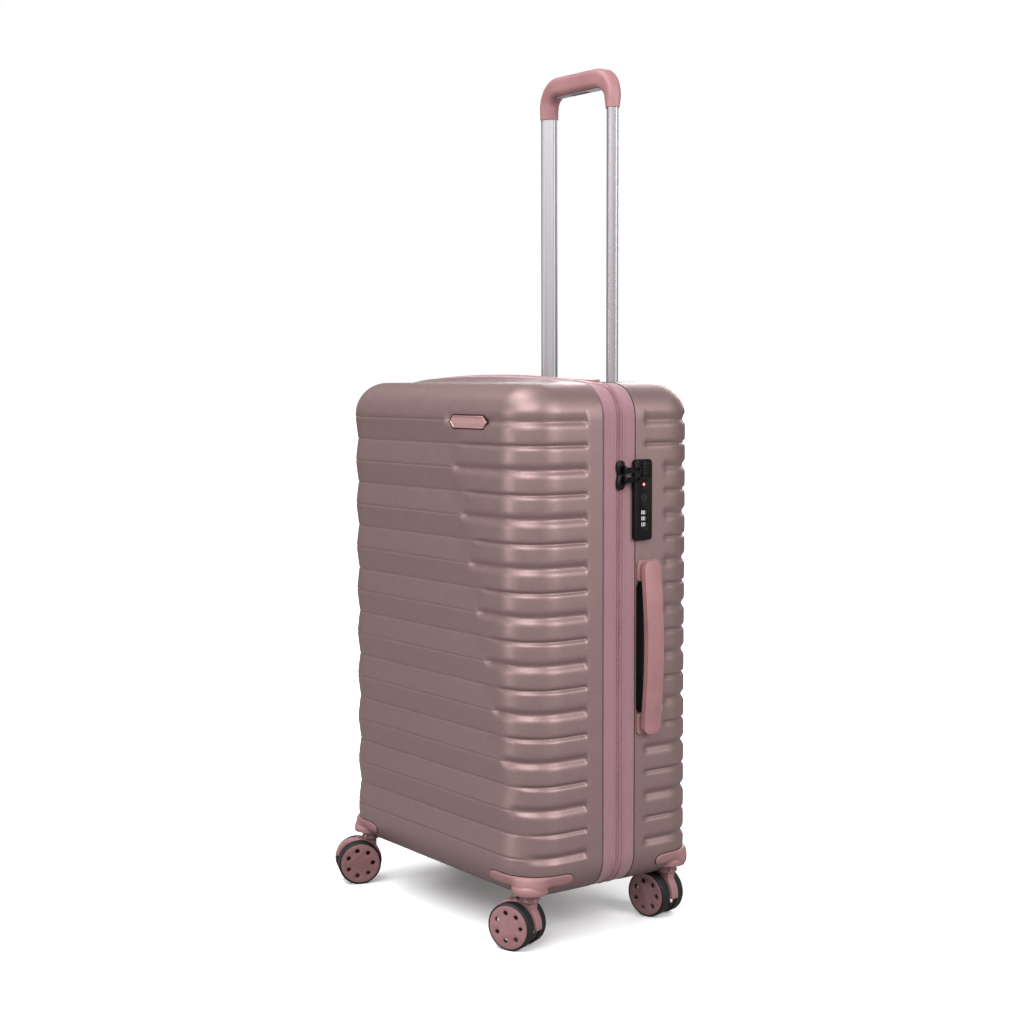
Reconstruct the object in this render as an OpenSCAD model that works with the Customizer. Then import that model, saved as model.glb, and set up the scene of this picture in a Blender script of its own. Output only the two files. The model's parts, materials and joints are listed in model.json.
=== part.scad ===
// Hard shell four-wheel suitcase: two ribbed half shells joined by a zip band,
// a telescopic pull handle, two carry handles, a combination lock and four
// twin-wheel casters. Z up, ground at Z = 0, front face towards -Y,
// lock side towards +X, pull handle at the back (+Y). All sizes in mm.

/* [Case body] */
// Width over the shells, side to side
body_w = 412; // [360:1:480]
// Depth over both shells, front to back
body_d = 270; // [230:1:320]
// Height of the shells, without casters
shell_h = 610; // [520:1:700]
// Height of the shell underside above the ground
ground_gap = 58; // [54:1:70]
// Radius of the four upright corners, seen from above
corner_r = 52; // [44:1:60]
// Radius of the rolled edges all round the front and back
edge_r = 42; // [36:1:50]
// Wall thickness of the moulded shells
shell_t = 3; // [2:0.1:4]

/* [Ribs] */
// Distance between two ribs of the same kind
rib_pitch = 57; // [40:1:60]
// Height of the topmost crease above the ground
rib_top = 624; // [580:1:640]
// Drop from a crease to the valley below it
valley_drop = 28.7; // [15:0.1:30]
// Width of a valley groove
valley_w = 6; // [3:0.1:8]
// Depth of a valley groove
valley_t = 2; // [0.5:0.1:2.4]
// Width of a crease groove
crease_w = 4; // [2:0.1:6]
// Depth of a crease groove
crease_t = 1.4; // [0.4:0.1:2]

/* [Zip band] */
// Front edge of the band, measured from the middle of the case
band_front = -23; // [-30:0.5:-18]
// Back edge of the band, measured from the middle of the case
band_back = 28; // [22:0.5:34]
// Centre line of the zip
zip_y = 3; // [-2:0.5:8]
// Thickness of the band cloth
cloth_t = 1.4; // [0.8:0.1:2]

/* [Casters] */
// Wheel diameter over the tyre
wheel_d = 57; // [45:1:60]
// Width of one wheel of a pair
wheel_w = 14; // [10:0.5:18]
// Distance the axle trails behind the swivel
caster_trail = 18; // [10:0.5:20]
// Swivel axis, inwards from the side of the case
swivel_in_x = 27; // [24:0.5:36]
// Front swivel axis, inwards from the front face
swivel_in_front = 25; // [24:0.5:36]
// Back swivel axis, inwards from the back face
swivel_in_back = 31; // [24:0.5:36]
// Diameter of the steel swivel pin
pin_d = 6; // [5:0.5:7]
// Diameter of the steel axle
axle_d = 5; // [4:0.5:6]

/* [Pull handle] */
// Width of the drawn tube section
tube_w = 21; // [16:0.5:24]
// Depth of the drawn tube section
tube_d = 14.5; // [12:0.5:18]
// Twist of each tube section, seen from above
tube_twist = 35; // [0:1:45]
// Distance between the two tubes
tube_gap = 132; // [120:1:150]
// Distance of the tubes from the middle of the case
trolley_y = 106; // [98:1:108]
// Travel from stowed to fully drawn out
trolley_stroke = 395; // [300:1:420]
// Thickness of the pull grip, front to back
grip_t = 20; // [16:1:22]

/* [Carry handles] */
// Length of a carry handle
handle_len = 210; // [180:1:240]
// Width of a carry handle
handle_w = 25; // [20:1:30]
// Thickness of a carry handle
handle_t = 7.4; // [5:0.1:9]
// Outward bow of a carry handle at its middle
handle_bow = 3.5; // [1:0.1:6]
// Travel of a carry handle when it is pulled
handle_lift = 11; // [6:0.5:11]
// Height of the middle of the side handle
side_handle_z = 350; // [330:1:370]

/* [Lock] */
// Height of the lock case bottom
lock_z = 480; // [470:1:500]
// Height of the lock case
lock_h = 97; // [90:1:100]
// Radius of a number wheel
dial_r = 6.5; // [6:0.1:7]
// Spacing of the number wheels
dial_pitch = 7.2; // [7:0.1:8]

/* [Hidden] */
hw = body_w / 2;
hd = body_d / 2;
zb = ground_gap;
zt = ground_gap + shell_h;
lock_y = 22;
lock_w = 27;
lock_face = hw + 5.5;
dial_x = hw - 0.4;
dial_y = 36;
dial_z = lock_z + 26.3;
key_z = lock_z + 52;
handle_y = 46.5;
leg_gap = 3.2;
leg_x = 93;
pocket_len = 160;
pocket_w = 39.5;
pocket_shift = 3.75;
pocket_r = 8;
tray_edge = handle_y + pocket_shift + pocket_w / 2 + 4;
pocket_t = 12;
wheel_r = wheel_d / 2;
sx_f = hw - swivel_in_x;
sy_f = swivel_in_front - hd;
sy_b = hd - swivel_in_back;
well_r = 50;
base_z = 61;
tyre_r0 = wheel_r - 2.6;
in_face = 6.5;
tube_r = 5;
tube_wall = 1.2;
cup_floor = 616;
grip_top = 671 + trolley_stroke;
grip_bottom = grip_top - 52;
tube_top = grip_top - 35;
tube_bottom = 125 + trolley_stroke;
slider_x = hw + 0.6;
bridge_x = hw + 7;
bridge_y = zip_y + 3;
pull_z1 = 564.6;
pull_z2 = 553;
az_fr = 22;
az_fl = 67;
az_br = 11;
az_bl = 70;
valleys = 9;
creases = 10;
rib_end_front = -44;
rib_end_back = 42;
plain_end = 73;
plain_low = 239;
plain_high = 581;
badge_x = 90;
badge_z = rib_top - 2;
guard_t = 1.6;
boss_r = 22;
boss_z = 72.5;
boss_top = 84;
plate_z = 68.4;
pin_bottom = 49;
pin_top = 81;
screw_r = 54;
screw_hole_r = 1.65;
lining_in = 4.7;
far = 300;
sky = 800;
frame_x = -2.373;
frame_y = 12.346;

// ---- shared shapes ----

// Brings the middle of the whole object, wheels included, over the origin.
module place() {
    translate([frame_x, frame_y, 0]) children();
}

// A box given by its two corners.
module box(a, b) {
    translate(a) cube([b[0] - a[0], b[1] - a[1], b[2] - a[2]]);
}

// A flat rectangle with rounded corners, centred.
module rrect(w, d, r) {
    square([w - 2 * r, d], center = true);
    square([w, d - 2 * r], center = true);
    for (x = [-1, 1]) {
        for (y = [-1, 1]) {
            translate([x * (w / 2 - r), y * (d / 2 - r)]) circle(r = r, $fn = 48);
        }
    }
}

// Half section of an upright corner: straight wall with a rolled top and bottom.
module corner_profile(r, e, h) {
    intersection() {
        union() {
            square([r - e, h]);
            translate([0, e]) square([r, h - 2 * e]);
            translate([r - e, e]) circle(r = e, $fn = 96);
            translate([r - e, h - e]) circle(r = e, $fn = 96);
        }
        square([r + 1, h]);
    }
}

// Upright outline between two corners, standing on zero.
module slab_profile(w, e, h) {
    translate([e - w, 0]) square([2 * w - 2 * e, h]);
    translate([-w, e]) square([2 * w, h - 2 * e]);
    for (s = [-1, 1]) {
        for (z = [e, h - e]) {
            translate([s * (w - e), z]) circle(r = e, $fn = 96);
        }
    }
}

// The closed case body, pulled in by i on every side.
module body_solid(i) {
    x0 = hw - corner_r;
    y0 = hd - corner_r;
    h = shell_h - 2 * i;
    translate([0, 0, zb + i]) {
        for (sx = [-1, 1]) {
            for (sy = [-1, 1]) {
                translate([sx * x0, sy * y0, 0])
                    rotate_extrude($fn = 96) corner_profile(corner_r - i, edge_r - i, h);
            }
        }
        rotate([90, 0, 0])
            linear_extrude(height = 2 * y0, center = true) slab_profile(hw - i, edge_r - i, h);
        rotate([90, 0, 90])
            linear_extrude(height = 2 * x0, center = true) slab_profile(hd - i, edge_r - i, h);
    }
}

// Outline of the case seen from above, pulled in by i.
module plan(i) {
    x0 = hw - corner_r;
    y0 = hd - corner_r;
    square([2 * x0, 2 * hd - 2 * i], center = true);
    square([2 * hw - 2 * i, 2 * y0], center = true);
    for (sx = [-1, 1]) {
        for (sy = [-1, 1]) {
            translate([sx * x0, sy * y0]) circle(r = corner_r - i, $fn = 96);
        }
    }
}

// A level ring round the upright walls.
module ring(z, h, o, i) {
    translate([0, 0, z - h / 2]) linear_extrude(height = h) difference() {
        plan(o);
        plan(i);
    }
}

// A hoop round the case at the seam, from y0 to y1, between two insets.
module hoop(y0, y1, o, i) {
    translate([0, y1, zb]) rotate([90, 0, 0]) linear_extrude(height = y1 - y0) difference() {
        translate([0, o]) slab_profile(hw - o, edge_r - o, shell_h - 2 * o);
        translate([0, i]) slab_profile(hw - i, edge_r - i, shell_h - 2 * i);
    }
}

// All groove rings: valleys and creases.
module grooves() {
    for (k = [0 : valleys - 1]) {
        ring(rib_top - valley_drop - k * rib_pitch, valley_w, -2, valley_t);
    }
    for (k = [0 : creases - 1]) {
        ring(rib_top - k * rib_pitch, crease_w, -2, crease_t);
    }
}

// Stiffening steps on the inside, behind the valleys.
module inner_steps() {
    for (k = [0 : valleys - 1]) {
        ring(rib_top - valley_drop - k * rib_pitch, valley_w + 3, shell_t - 0.5, 4.3);
    }
}

// The plain hollow body with inner steps and outer grooves.
module ribbed_body() {
    difference() {
        union() {
            difference() {
                body_solid(0);
                body_solid(shell_t);
            }
            inner_steps();
        }
        grooves();
    }
}

// The plain hollow body without grooves.
module plain_body() {
    difference() {
        body_solid(0);
        body_solid(shell_t);
    }
}

// The open pocket a wheel base closes, and the hole for its boss.
module wheel_cut(x, y) {
    translate([x, y, 0]) cylinder(r = well_r + 0.3, h = 65.5, $fn = 96);
    translate([x, y, 0]) cylinder(r = boss_r + 0.4, h = boss_top + 0.5, $fn = 96);
}

// Screw positions of one wheel base; sx and sy point away from the case middle.
module at_base_screws(x, y, sx, sy) {
    for (a = [25, 45, 65]) {
        translate([x - sx * screw_r * cos(a), y - sy * screw_r * sin(a), 0]) children();
    }
}

// ---- wheel bases ----

// Corner guard with its swivel boss, fixed to the shell from inside.
module wheel_base(x, y, sx, sy) {
    difference() {
        union() {
            difference() {
                intersection() {
                    body_solid(-guard_t);
                    translate([x, y, base_z]) cylinder(r = well_r, h = 29, $fn = 96);
                }
                intersection() {
                    body_solid(-0.1);
                    translate([x, y, 65.2]) cylinder(r = 80, h = 40, $fn = 96);
                }
            }
            intersection() {
                body_solid(shell_t + 0.3);
                translate([x, y, base_z + 0.3]) cylinder(r = 58, h = 3.9, $fn = 96);
            }
            intersection() {
                body_solid(shell_t + 0.3);
                translate([x, y, base_z + 0.3]) cylinder(r = boss_r, h = boss_z - base_z, $fn = 96);
            }
            translate([x, y, boss_z]) cylinder(r = boss_r, h = boss_top - boss_z, $fn = 96);
        }
        translate([x, y, 50]) cylinder(r = boss_r - 2, h = boss_z - 50, $fn = 96);
        translate([x, y, 50]) cylinder(r = pin_d / 2 + 0.02, h = pin_top + 0.5 - 50, $fn = 48);
        at_base_screws(x, y, sx, sy) cylinder(r = screw_hole_r, h = 90, $fn = 32);
    }
}

module front_wheel_bases() {
    color([0.62, 0.45, 0.45]) place() {
        wheel_base(sx_f, sy_f, 1, -1);
        wheel_base(-sx_f, sy_f, -1, -1);
    }
}

module back_wheel_bases() {
    color([0.62, 0.45, 0.45]) place() {
        wheel_base(sx_f, sy_b, 1, 1);
        wheel_base(-sx_f, sy_b, -1, 1);
    }
}

// Steel swivel pin, pressed into the boss and running in the fork.
module swivel_pin(x, y) {
    translate([x, y, pin_bottom]) cylinder(r = pin_d / 2, h = pin_top - pin_bottom, $fn = 48);
}

module front_swivel_pins() {
    color([0.7, 0.7, 0.72]) place() {
        swivel_pin(sx_f, sy_f);
        swivel_pin(-sx_f, sy_f);
    }
}

module back_swivel_pins() {
    color([0.7, 0.7, 0.72]) place() {
        swivel_pin(sx_f, sy_b);
        swivel_pin(-sx_f, sy_b);
    }
}

// One cross-head screw holding a wheel base.
module base_screw() {
    difference() {
        union() {
            translate([0, 0, 58.6]) cylinder(r = 1.5, h = 7, $fn = 32);
            translate([0, 0, 65.3]) cylinder(r = 3.5, h = 2, $fn = 32);
        }
        translate([0, 0, 67.3]) cube([3.6, 0.9, 1.6], center = true);
        translate([0, 0, 67.3]) cube([0.9, 3.6, 1.6], center = true);
    }
}

module front_screws() {
    color([0.75, 0.75, 0.78]) place() {
        at_base_screws(sx_f, sy_f, 1, -1) base_screw();
        at_base_screws(-sx_f, sy_f, -1, -1) base_screw();
    }
}

module back_screws() {
    color([0.75, 0.75, 0.78]) place() {
        at_base_screws(sx_f, sy_b, 1, 1) base_screw();
        at_base_screws(-sx_f, sy_b, -1, 1) base_screw();
    }
}

// ---- half shells ----

module front_shell() {
    color([0.55, 0.45, 0.44]) place() difference() {
        union() {
            intersection() {
                ribbed_body();
                box([-far, -far, 0], [far, rib_end_front, sky]);
            }
            intersection() {
                plain_body();
                box([-far, rib_end_front, 0], [far, band_front, sky]);
            }
        }
        wheel_cut(sx_f, sy_f);
        wheel_cut(-sx_f, sy_f);
        at_base_screws(sx_f, sy_f, 1, -1) cylinder(r = screw_hole_r, h = 90, $fn = 32);
        at_base_screws(-sx_f, sy_f, -1, -1) cylinder(r = screw_hole_r, h = 90, $fn = 32);
        translate([badge_x, -hd, badge_z]) rotate([90, 0, 0])
            linear_extrude(height = 3, center = true) badge_outline(42, 10);
    }
}

// Elongated six-sided outline.
module badge_outline(a, b) {
    polygon([[-a, 0], [b - a, b], [a - b, b], [a, 0], [a - b, -b], [b - a, -b]]);
}

module badge_plate() {
    color([0.75, 0.55, 0.55]) place() translate([badge_x, -hd, badge_z]) rotate([90, 0, 0]) {
        translate([0, 0, -1.45]) linear_extrude(height = 1.6) badge_outline(41.6, 9.7);
        linear_extrude(height = 0.6) badge_outline(38, 7);
    }
}

// Finger pocket moulded into the shell behind a carry handle, grown by g, up to top.
module finger_pocket(g, top) {
    translate([0, pocket_shift, -pocket_t - g]) linear_extrude(height = pocket_t + g + top)
        rrect(pocket_len + 2 * g, pocket_w + 2 * g, pocket_r + g);
}

// Carry handle position on the side, and on the top.
module on_side() {
    translate([hw, handle_y, side_handle_z]) rotate([0, 90, 0]) children();
}

module on_top() {
    translate([0, handle_y, zt]) children();
}

// Holes for the two mounting cups of a carry handle.
module cup_holes(g) {
    for (s = [-1, 1]) {
        translate([s * leg_x, 0, -10]) cube([20.4 + g, 27 + g, 30], center = true);
    }
}

module back_shell() {
    color([0.52, 0.43, 0.42]) place() difference() {
        union() {
            intersection() {
                ribbed_body();
                difference() {
                    box([-far, rib_end_back, 0], [far, far, sky]);
                    box([150, 0, plain_low], [far, plain_end, plain_high]);
                }
            }
            intersection() {
                plain_body();
                union() {
                    box([-far, band_back, 0], [far, rib_end_back, sky]);
                    box([150, band_back, plain_low], [far, plain_end, plain_high]);
                }
            }
            on_side() finger_pocket(2, -0.5);
            on_top() finger_pocket(2, -0.5);
        }
        wheel_cut(sx_f, sy_b);
        wheel_cut(-sx_f, sy_b);
        at_base_screws(sx_f, sy_b, 1, 1) cylinder(r = screw_hole_r, h = 90, $fn = 32);
        at_base_screws(-sx_f, sy_b, -1, 1) cylinder(r = screw_hole_r, h = 90, $fn = 32);
        on_side() finger_pocket(0, 5);
        on_top() finger_pocket(0, 5);
        on_side() cup_holes(0);
        on_top() cup_holes(0);
        box([hw - 12, 20, lock_z + 5.6], [hw + 10, 47.4, lock_z + lock_h - 5.6]);
        box([-86.4, trolley_y - 16.9, 600], [86.4, trolley_y + 16.9, 700]);
    }
}

// ---- cloth parts: lining, gussets, hinge, straps, divider ----

// Hardware the back lining is draped over, grown by i.
module back_humps(i) {
    box([-98 - i, 84 - i, 0], [98 + i, far, sky]);
    box([hw - 20 - i, 0, side_handle_z - 110 - i], [hw + 50, tray_edge + i, side_handle_z + 110 + i]);
    box([hw - 14 - i, 0, lock_z - i], [hw + 50, 52 + i, lock_z + lock_h + i]);
    box([-110 - i, 0, zt - 22 - i], [110 + i, tray_edge + i, sky]);
    for (s = [-1, 1]) {
        translate([s * sx_f, sy_b, 0]) cylinder(r = 61 + i, h = 86 + i, $fn = 96);
    }
}

module front_humps(i) {
    for (s = [-1, 1]) {
        translate([s * sx_f, sy_f, 0]) cylinder(r = 61 + i, h = 86 + i, $fn = 96);
    }
}

module back_lining() {
    color([0.35, 0.33, 0.34]) place() difference() {
        intersection() {
            body_solid(lining_in);
            box([-far, band_back + 1, 0], [far, far, sky]);
        }
        back_humps(0);
        intersection() {
            difference() {
                body_solid(lining_in + 1);
                back_humps(1);
            }
            box([-far, 0, 0], [far, far, sky]);
        }
    }
}

module front_lining() {
    color([0.35, 0.33, 0.34]) place() difference() {
        intersection() {
            body_solid(lining_in);
            box([-far, -far, 0], [far, band_front - 1, sky]);
        }
        front_humps(0);
        intersection() {
            difference() {
                body_solid(lining_in + 1);
                front_humps(1);
            }
            box([-far, -far, 0], [far, 0, sky]);
        }
    }
}

// Raised zip teeth run round three sides, not the hinge side.
module teeth(y0, y1) {
    difference() {
        hoop(y0, y1, 0.1, 1.3);
        box([-far, -50, 0], [12 + edge_r - hw, 50, sky]);
    }
}

module front_gusset() {
    color([0.66, 0.47, 0.48]) place() {
        hoop(band_front + 0.2, zip_y - 0.3, 1, 1 + cloth_t);
        hoop(band_front + 0.2, band_front + 1.2, 1.5, 4.4);
        hoop(band_front - 10, band_front + 1.2, shell_t + 0.15, 4.4);
        teeth(zip_y - 3.3, zip_y - 0.3);
    }
}

module back_gusset() {
    color([0.66, 0.47, 0.48]) place() difference() {
        union() {
            hoop(zip_y + 0.3, band_back - 0.2, 1, 1 + cloth_t);
            hoop(band_back - 1.2, band_back - 0.2, 1.5, 4.4);
            hoop(band_back - 1.2, band_back + 10, shell_t + 0.15, 4.4);
            teeth(zip_y + 0.3, zip_y + 3.3);
        }
        box([hw - 12, 26, lock_z + 5.6], [hw + 10, 47.4, lock_z + lock_h - 5.6]);
        on_side() cup_holes(0.6);
        on_side() finger_pocket(2.2, -0.5);
        on_top() cup_holes(0.6);
        on_top() finger_pocket(2.2, -0.5);
    }
}

// Cloth hinge sewn behind the band on the side without teeth.
module hinge_tape() {
    color([0.5, 0.36, 0.37]) place()
        box([3.3 - hw, zip_y + 0.6, 112], [2.6 - hw + 1.5, band_back - 1.5, 614]);
}

// Two crossed elastic straps with a flat buckle.
module packing_straps() {
    color([0.16, 0.16, 0.17]) place() translate([0, 35, zb + shell_h / 2]) rotate([90, 0, 0]) {
        intersection() {
            union() {
                for (s = [-1, 1]) {
                    rotate([0, 0, s * 56]) translate([0, 0, -0.7])
                        linear_extrude(height = 1.4) square([680, 25], center = true);
                }
            }
            cube([2 * hw - 14, shell_h - 60, 20], center = true);
        }
        translate([0, 0, 0.6]) linear_extrude(height = 5) rrect(56, 36, 8);
    }
}

// Zipped mesh divider closing the front half.
module divider_panel() {
    color([0.3, 0.29, 0.3]) place() translate([0, band_front - 2, zb + shell_h / 2]) rotate([90, 0, 0])
        linear_extrude(height = 1.4) rrect(2 * hw - 14, shell_h - 14, edge_r - 7);
}

// ---- lock ----

module lock_case() {
    color([0.06, 0.06, 0.07]) place() difference() {
        union() {
            translate([hw + 0.3, lock_y + lock_w / 2, lock_z + lock_h / 2]) rotate([0, 90, 0])
                linear_extrude(height = 5.2) rrect(lock_h, lock_w, 5);
            box([hw - 9, 28.2, lock_z + 6], [hw + 0.4, 47, lock_z + lock_h - 6]);
        }
        difference() {
            box([hw - 7.5, 29.2, dial_z - 11.2], [hw + 4, 42.8, dial_z + 11.2]);
            translate([dial_x, dial_y, dial_z - 12]) cylinder(r = 1.25, h = 24, $fn = 32);
        }
        for (k = [-1 : 1]) {
            box([hw + 2, 30.8, dial_z + k * dial_pitch - 3.1],
                [hw + 9, 41.2, dial_z + k * dial_pitch + 3.1]);
        }
        translate([hw - 4, dial_y, key_z]) rotate([0, 90, 0]) cylinder(r = 4.05, h = 20, $fn = 48);
        box([hw + 0.8, 33, lock_z + 75.6], [hw + 9, 47.4, lock_z + 94.4]);
        translate([lock_face - 0.8, dial_y, lock_z + 67]) rotate([0, 90, 0])
            cylinder(r = 1.6, h = 4, $fn = 32);
    }
}

module lock_release() {
    color([0.1, 0.1, 0.11]) place() {
        box([hw + 3.6, 33.4, lock_z + 76], [hw + 6.6, 47, lock_z + 94]);
        for (k = [0 : 3]) {
            box([hw + 6.5, 35.4, lock_z + 79 + 3.6 * k], [hw + 7, 45, lock_z + 80.4 + 3.6 * k]);
        }
    }
}

module lock_key_barrel() {
    color([0.6, 0.6, 0.62]) place() difference() {
        translate([hw - 3.8, dial_y, key_z]) rotate([0, 90, 0]) cylinder(r = 4, h = 9.1, $fn = 48);
        translate([hw + 4.5, dial_y, key_z]) cube([4, 1.1, 5.2], center = true);
    }
}

// One number wheel with ten flats between finger notches.
module dial(k) {
    translate([dial_x, dial_y, dial_z + k * dial_pitch - 2.8]) difference() {
        cylinder(r = dial_r, h = 5.6, $fn = 96);
        translate([0, 0, -1]) cylinder(r = 1.3, h = 8, $fn = 32);
        for (a = [0 : 9]) {
            rotate([0, 0, a * 36 + 18]) translate([dial_r + 0.15, 0, -1])
                cylinder(r = 0.55, h = 8, $fn = 24);
        }
    }
}

module lock_dial_1() {
    color([0.14, 0.15, 0.18]) place() dial(1);
}

module lock_dial_2() {
    color([0.14, 0.15, 0.18]) place() dial(0);
}

module lock_dial_3() {
    color([0.14, 0.15, 0.18]) place() dial(-1);
}

// ---- zip sliders and pulls ----

// Slider body with its bridge; s points along the way it opens.
module slider(zc, s) {
    translate([0, zip_y, zc]) {
        translate([slider_x, 0, 0]) rotate([0, 90, 0]) linear_extrude(height = 2.2)
            flip_ends(s) polygon([[5.4, -4], [5.4, 4], [-3, 6.6], [-9, 5.6], [-11.6, 2.6],
                [-11.6, -2.6], [-9, -5.6], [-3, -6.6]]);
        for (e = [-1, 1]) {
            translate([slider_x + 2, 3 - 1.3, e * 4.6 - 0.8])
                cube([5.4, 2.6, 1.6]);
        }
        translate([bridge_x, 3, -4.8]) cylinder(r = 1, h = 9.6, $fn = 32);
    }
}

// Turns an outline end for end.
module flip_ends(s) {
    if (s > 0) {
        children();
    } else {
        mirror([1, 0]) children();
    }
}

module zip_slider_upper() {
    color([0.05, 0.05, 0.06]) place() slider(pull_z1, 1);
}

module zip_slider_lower() {
    color([0.05, 0.05, 0.06]) place() slider(pull_z2, -1);
}

// Pull tab: an eye round the bridge and a flat arm lying on the lock.
module zip_pull(zc) {
    difference() {
        union() {
            translate([bridge_x, bridge_y, zc - 3.4]) cylinder(r = 2.1, h = 6.8, $fn = 48);
            box([bridge_x - 1, bridge_y, zc - 3.4], [bridge_x + 1, 31, zc + 3.4]);
        }
        translate([bridge_x, bridge_y, zc - 4]) cylinder(r = 1.05, h = 8, $fn = 32);
        translate([bridge_x, 26.5, zc]) rotate([0, 90, 0])
            cylinder(r = 1.6, h = 6, center = true, $fn = 32);
    }
}

module zip_pull_upper() {
    color([0.05, 0.05, 0.06]) place() zip_pull(pull_z1);
}

module zip_pull_lower() {
    color([0.05, 0.05, 0.06]) place() zip_pull(pull_z2);
}

// ---- carry handles ----

// Height of the bowed line x away from the middle of a carry handle.
function bow_at(x) = handle_bow * (1 - 4 * x * x / (handle_len * handle_len));

// Side outline of the bowed bar, its underside on leg_gap at the ends.
module bow_outline() {
    n = 24;
    xs = [for (k = [0 : n]) handle_len * (k / n - 0.5)];
    polygon(concat(
        [for (x = xs) [x, leg_gap + bow_at(x)]],
        [for (k = [n : -1 : 0]) [xs[k], leg_gap + handle_t + bow_at(xs[k])]]
    ));
}

// Bowed bar with two sliding legs; length along X, outwards along Z.
module carry_grip() {
    intersection() {
        rotate([90, 0, 0]) linear_extrude(height = handle_w, center = true) bow_outline();
        linear_extrude(height = 60, center = true) rrect(handle_len, handle_w, 9);
    }
    for (s = [-1, 1]) {
        translate([s * leg_x, 0, 0]) {
            box([-6, -8, -handle_lift - 1], [6, 8, 5]);
            box([-7.4, -10.4, -handle_lift - 4], [7.4, 10.4, -handle_lift - 1]);
        }
    }
}

module side_handle_grip() {
    color([0.6, 0.43, 0.43]) place() on_side() carry_grip();
}

module top_handle_grip() {
    color([0.6, 0.43, 0.43]) place() on_top() carry_grip();
}

// Cup and face plate that guide one leg of a carry handle.
module mount_cup() {
    difference() {
        union() {
            translate([0, 0, 0.1]) linear_extrude(height = 2.5) rrect(25, 33, 4);
            box([-10, -13.2, -handle_lift - 6.5], [10, 13.2, 0.2]);
        }
        box([-8.1, -11.2, -handle_lift - 5], [8.1, 11.2, -0.4]);
        box([-6.4, -8.4, -5], [6.4, 8.4, 5]);
    }
}

module handle_mounts() {
    color([0.5, 0.36, 0.36]) place() {
        for (s = [-1, 1]) {
            on_side() translate([s * leg_x, 0, 0]) mount_cup();
            on_top() translate([s * leg_x, 0, 0]) mount_cup();
        }
    }
}

// ---- pull handle ----

// Section of a drawn tube grown by g; s picks the side.
module tube_section(s, g) {
    rotate([0, 0, -s * tube_twist]) rrect(tube_w + 2 * g, tube_d + 2 * g, tube_r + g);
}

module tube(s, z0, z1, o, i) {
    translate([s * tube_gap / 2, trolley_y, z0]) linear_extrude(height = z1 - z0) difference() {
        tube_section(s, o);
        tube_section(s, i);
    }
}

module tube_core(s, z0, z1, g) {
    translate([s * tube_gap / 2, trolley_y, z0]) linear_extrude(height = z1 - z0)
        tube_section(s, g);
}

module outer_tubes() {
    color([0.72, 0.72, 0.74]) place() {
        tube(-1, 78.2, cup_floor - 3.1, 1.6, 0.4);
        tube(1, 78.2, cup_floor - 3.1, 1.6, 0.4);
    }
}

module inner_tubes() {
    color([0.8, 0.8, 0.82]) place() {
        tube(-1, tube_bottom, tube_top, 0, -tube_wall);
        tube(1, tube_bottom, tube_top, 0, -tube_wall);
    }
}

// Sunk surround the grip drops into.
module handle_bezel() {
    color([0.45, 0.33, 0.35]) place() difference() {
        union() {
            difference() {
                translate([0, trolley_y, 620]) linear_extrude(height = 50) rrect(184, 40, 7);
                body_solid(-0.1);
            }
            translate([0, trolley_y, cup_floor - 3]) linear_extrude(height = 57)
                rrect(172, 33, 5);
        }
        translate([0, trolley_y, cup_floor]) linear_extrude(height = 80) rrect(167, 25, 6);
        for (s = [-1, 1]) {
            tube_core(s, 600, 640, 0.45);
        }
    }
}

// Foot that ties the two fixed tubes together at the bottom.
module tube_foot() {
    color([0.15, 0.15, 0.16]) place() difference() {
        intersection() {
            union() {
                box([-84, trolley_y - 14, 74], [84, trolley_y + 14, 88]);
                box([-14, trolley_y, 74], [14, hd, 88]);
            }
            body_solid(shell_t + 0.3);
        }
        for (s = [-1, 1]) {
            tube_core(s, 78, 100, 1.7);
        }
    }
}

// Outline of the pull grip, seen from the front.
module grip_outline() {
    difference() {
        union() {
            polygon([[-80, grip_bottom], [80, grip_bottom], [78, grip_top - 19], [-78, grip_top - 19]]);
            translate([-59, grip_top - 30]) square([118, 30]);
            for (s = [-1, 1]) {
                translate([s * 59, grip_top - 19]) circle(r = 19, $fn = 96);
            }
        }
        translate([0, grip_bottom + 5]) rrect(103, 51, 9);
        translate([-51.5, grip_bottom - 20]) square([103, 30]);
    }
}

module trolley_grip() {
    color([0.62, 0.45, 0.46]) place() difference() {
        intersection() {
            translate([0, trolley_y, 0]) rotate([90, 0, 0])
                linear_extrude(height = grip_t, center = true) grip_outline();
            translate([0, trolley_y, (grip_top + grip_bottom) / 2]) rotate([90, 0, 90])
                linear_extrude(height = 200, center = true)
                    rrect(grip_t, grip_top - grip_bottom, 6);
        }
        for (s = [-1, 1]) {
            tube_core(s, grip_bottom - 5, tube_top + 0.2, 0.05);
            translate([s * tube_gap / 2, trolley_y, tube_top]) cylinder(r = 2.4, h = 24, $fn = 32);
        }
        box([-68.4, trolley_y - 2.4, grip_top - 17], [68.4, trolley_y + 2.4, grip_top - 7.5]);
        box([-46, trolley_y - 5, grip_bottom], [46, trolley_y + 5, grip_top - 18.5]);
        box([-17.4, trolley_y - 4.4, grip_bottom], [17.4, trolley_y + 4.4, grip_top - 7.5]);
    }
}

// Bright strip set into the underside of the grip, with the button window.
module grip_insert() {
    color([0.75, 0.75, 0.77]) place() difference() {
        box([-45.8, trolley_y - 4.8, grip_top - 21.9], [45.8, trolley_y + 4.8, grip_top - 18.7]);
        box([-16.4, trolley_y - 3.7, 1000], [16.4, trolley_y + 3.7, 1100]);
    }
}

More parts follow.
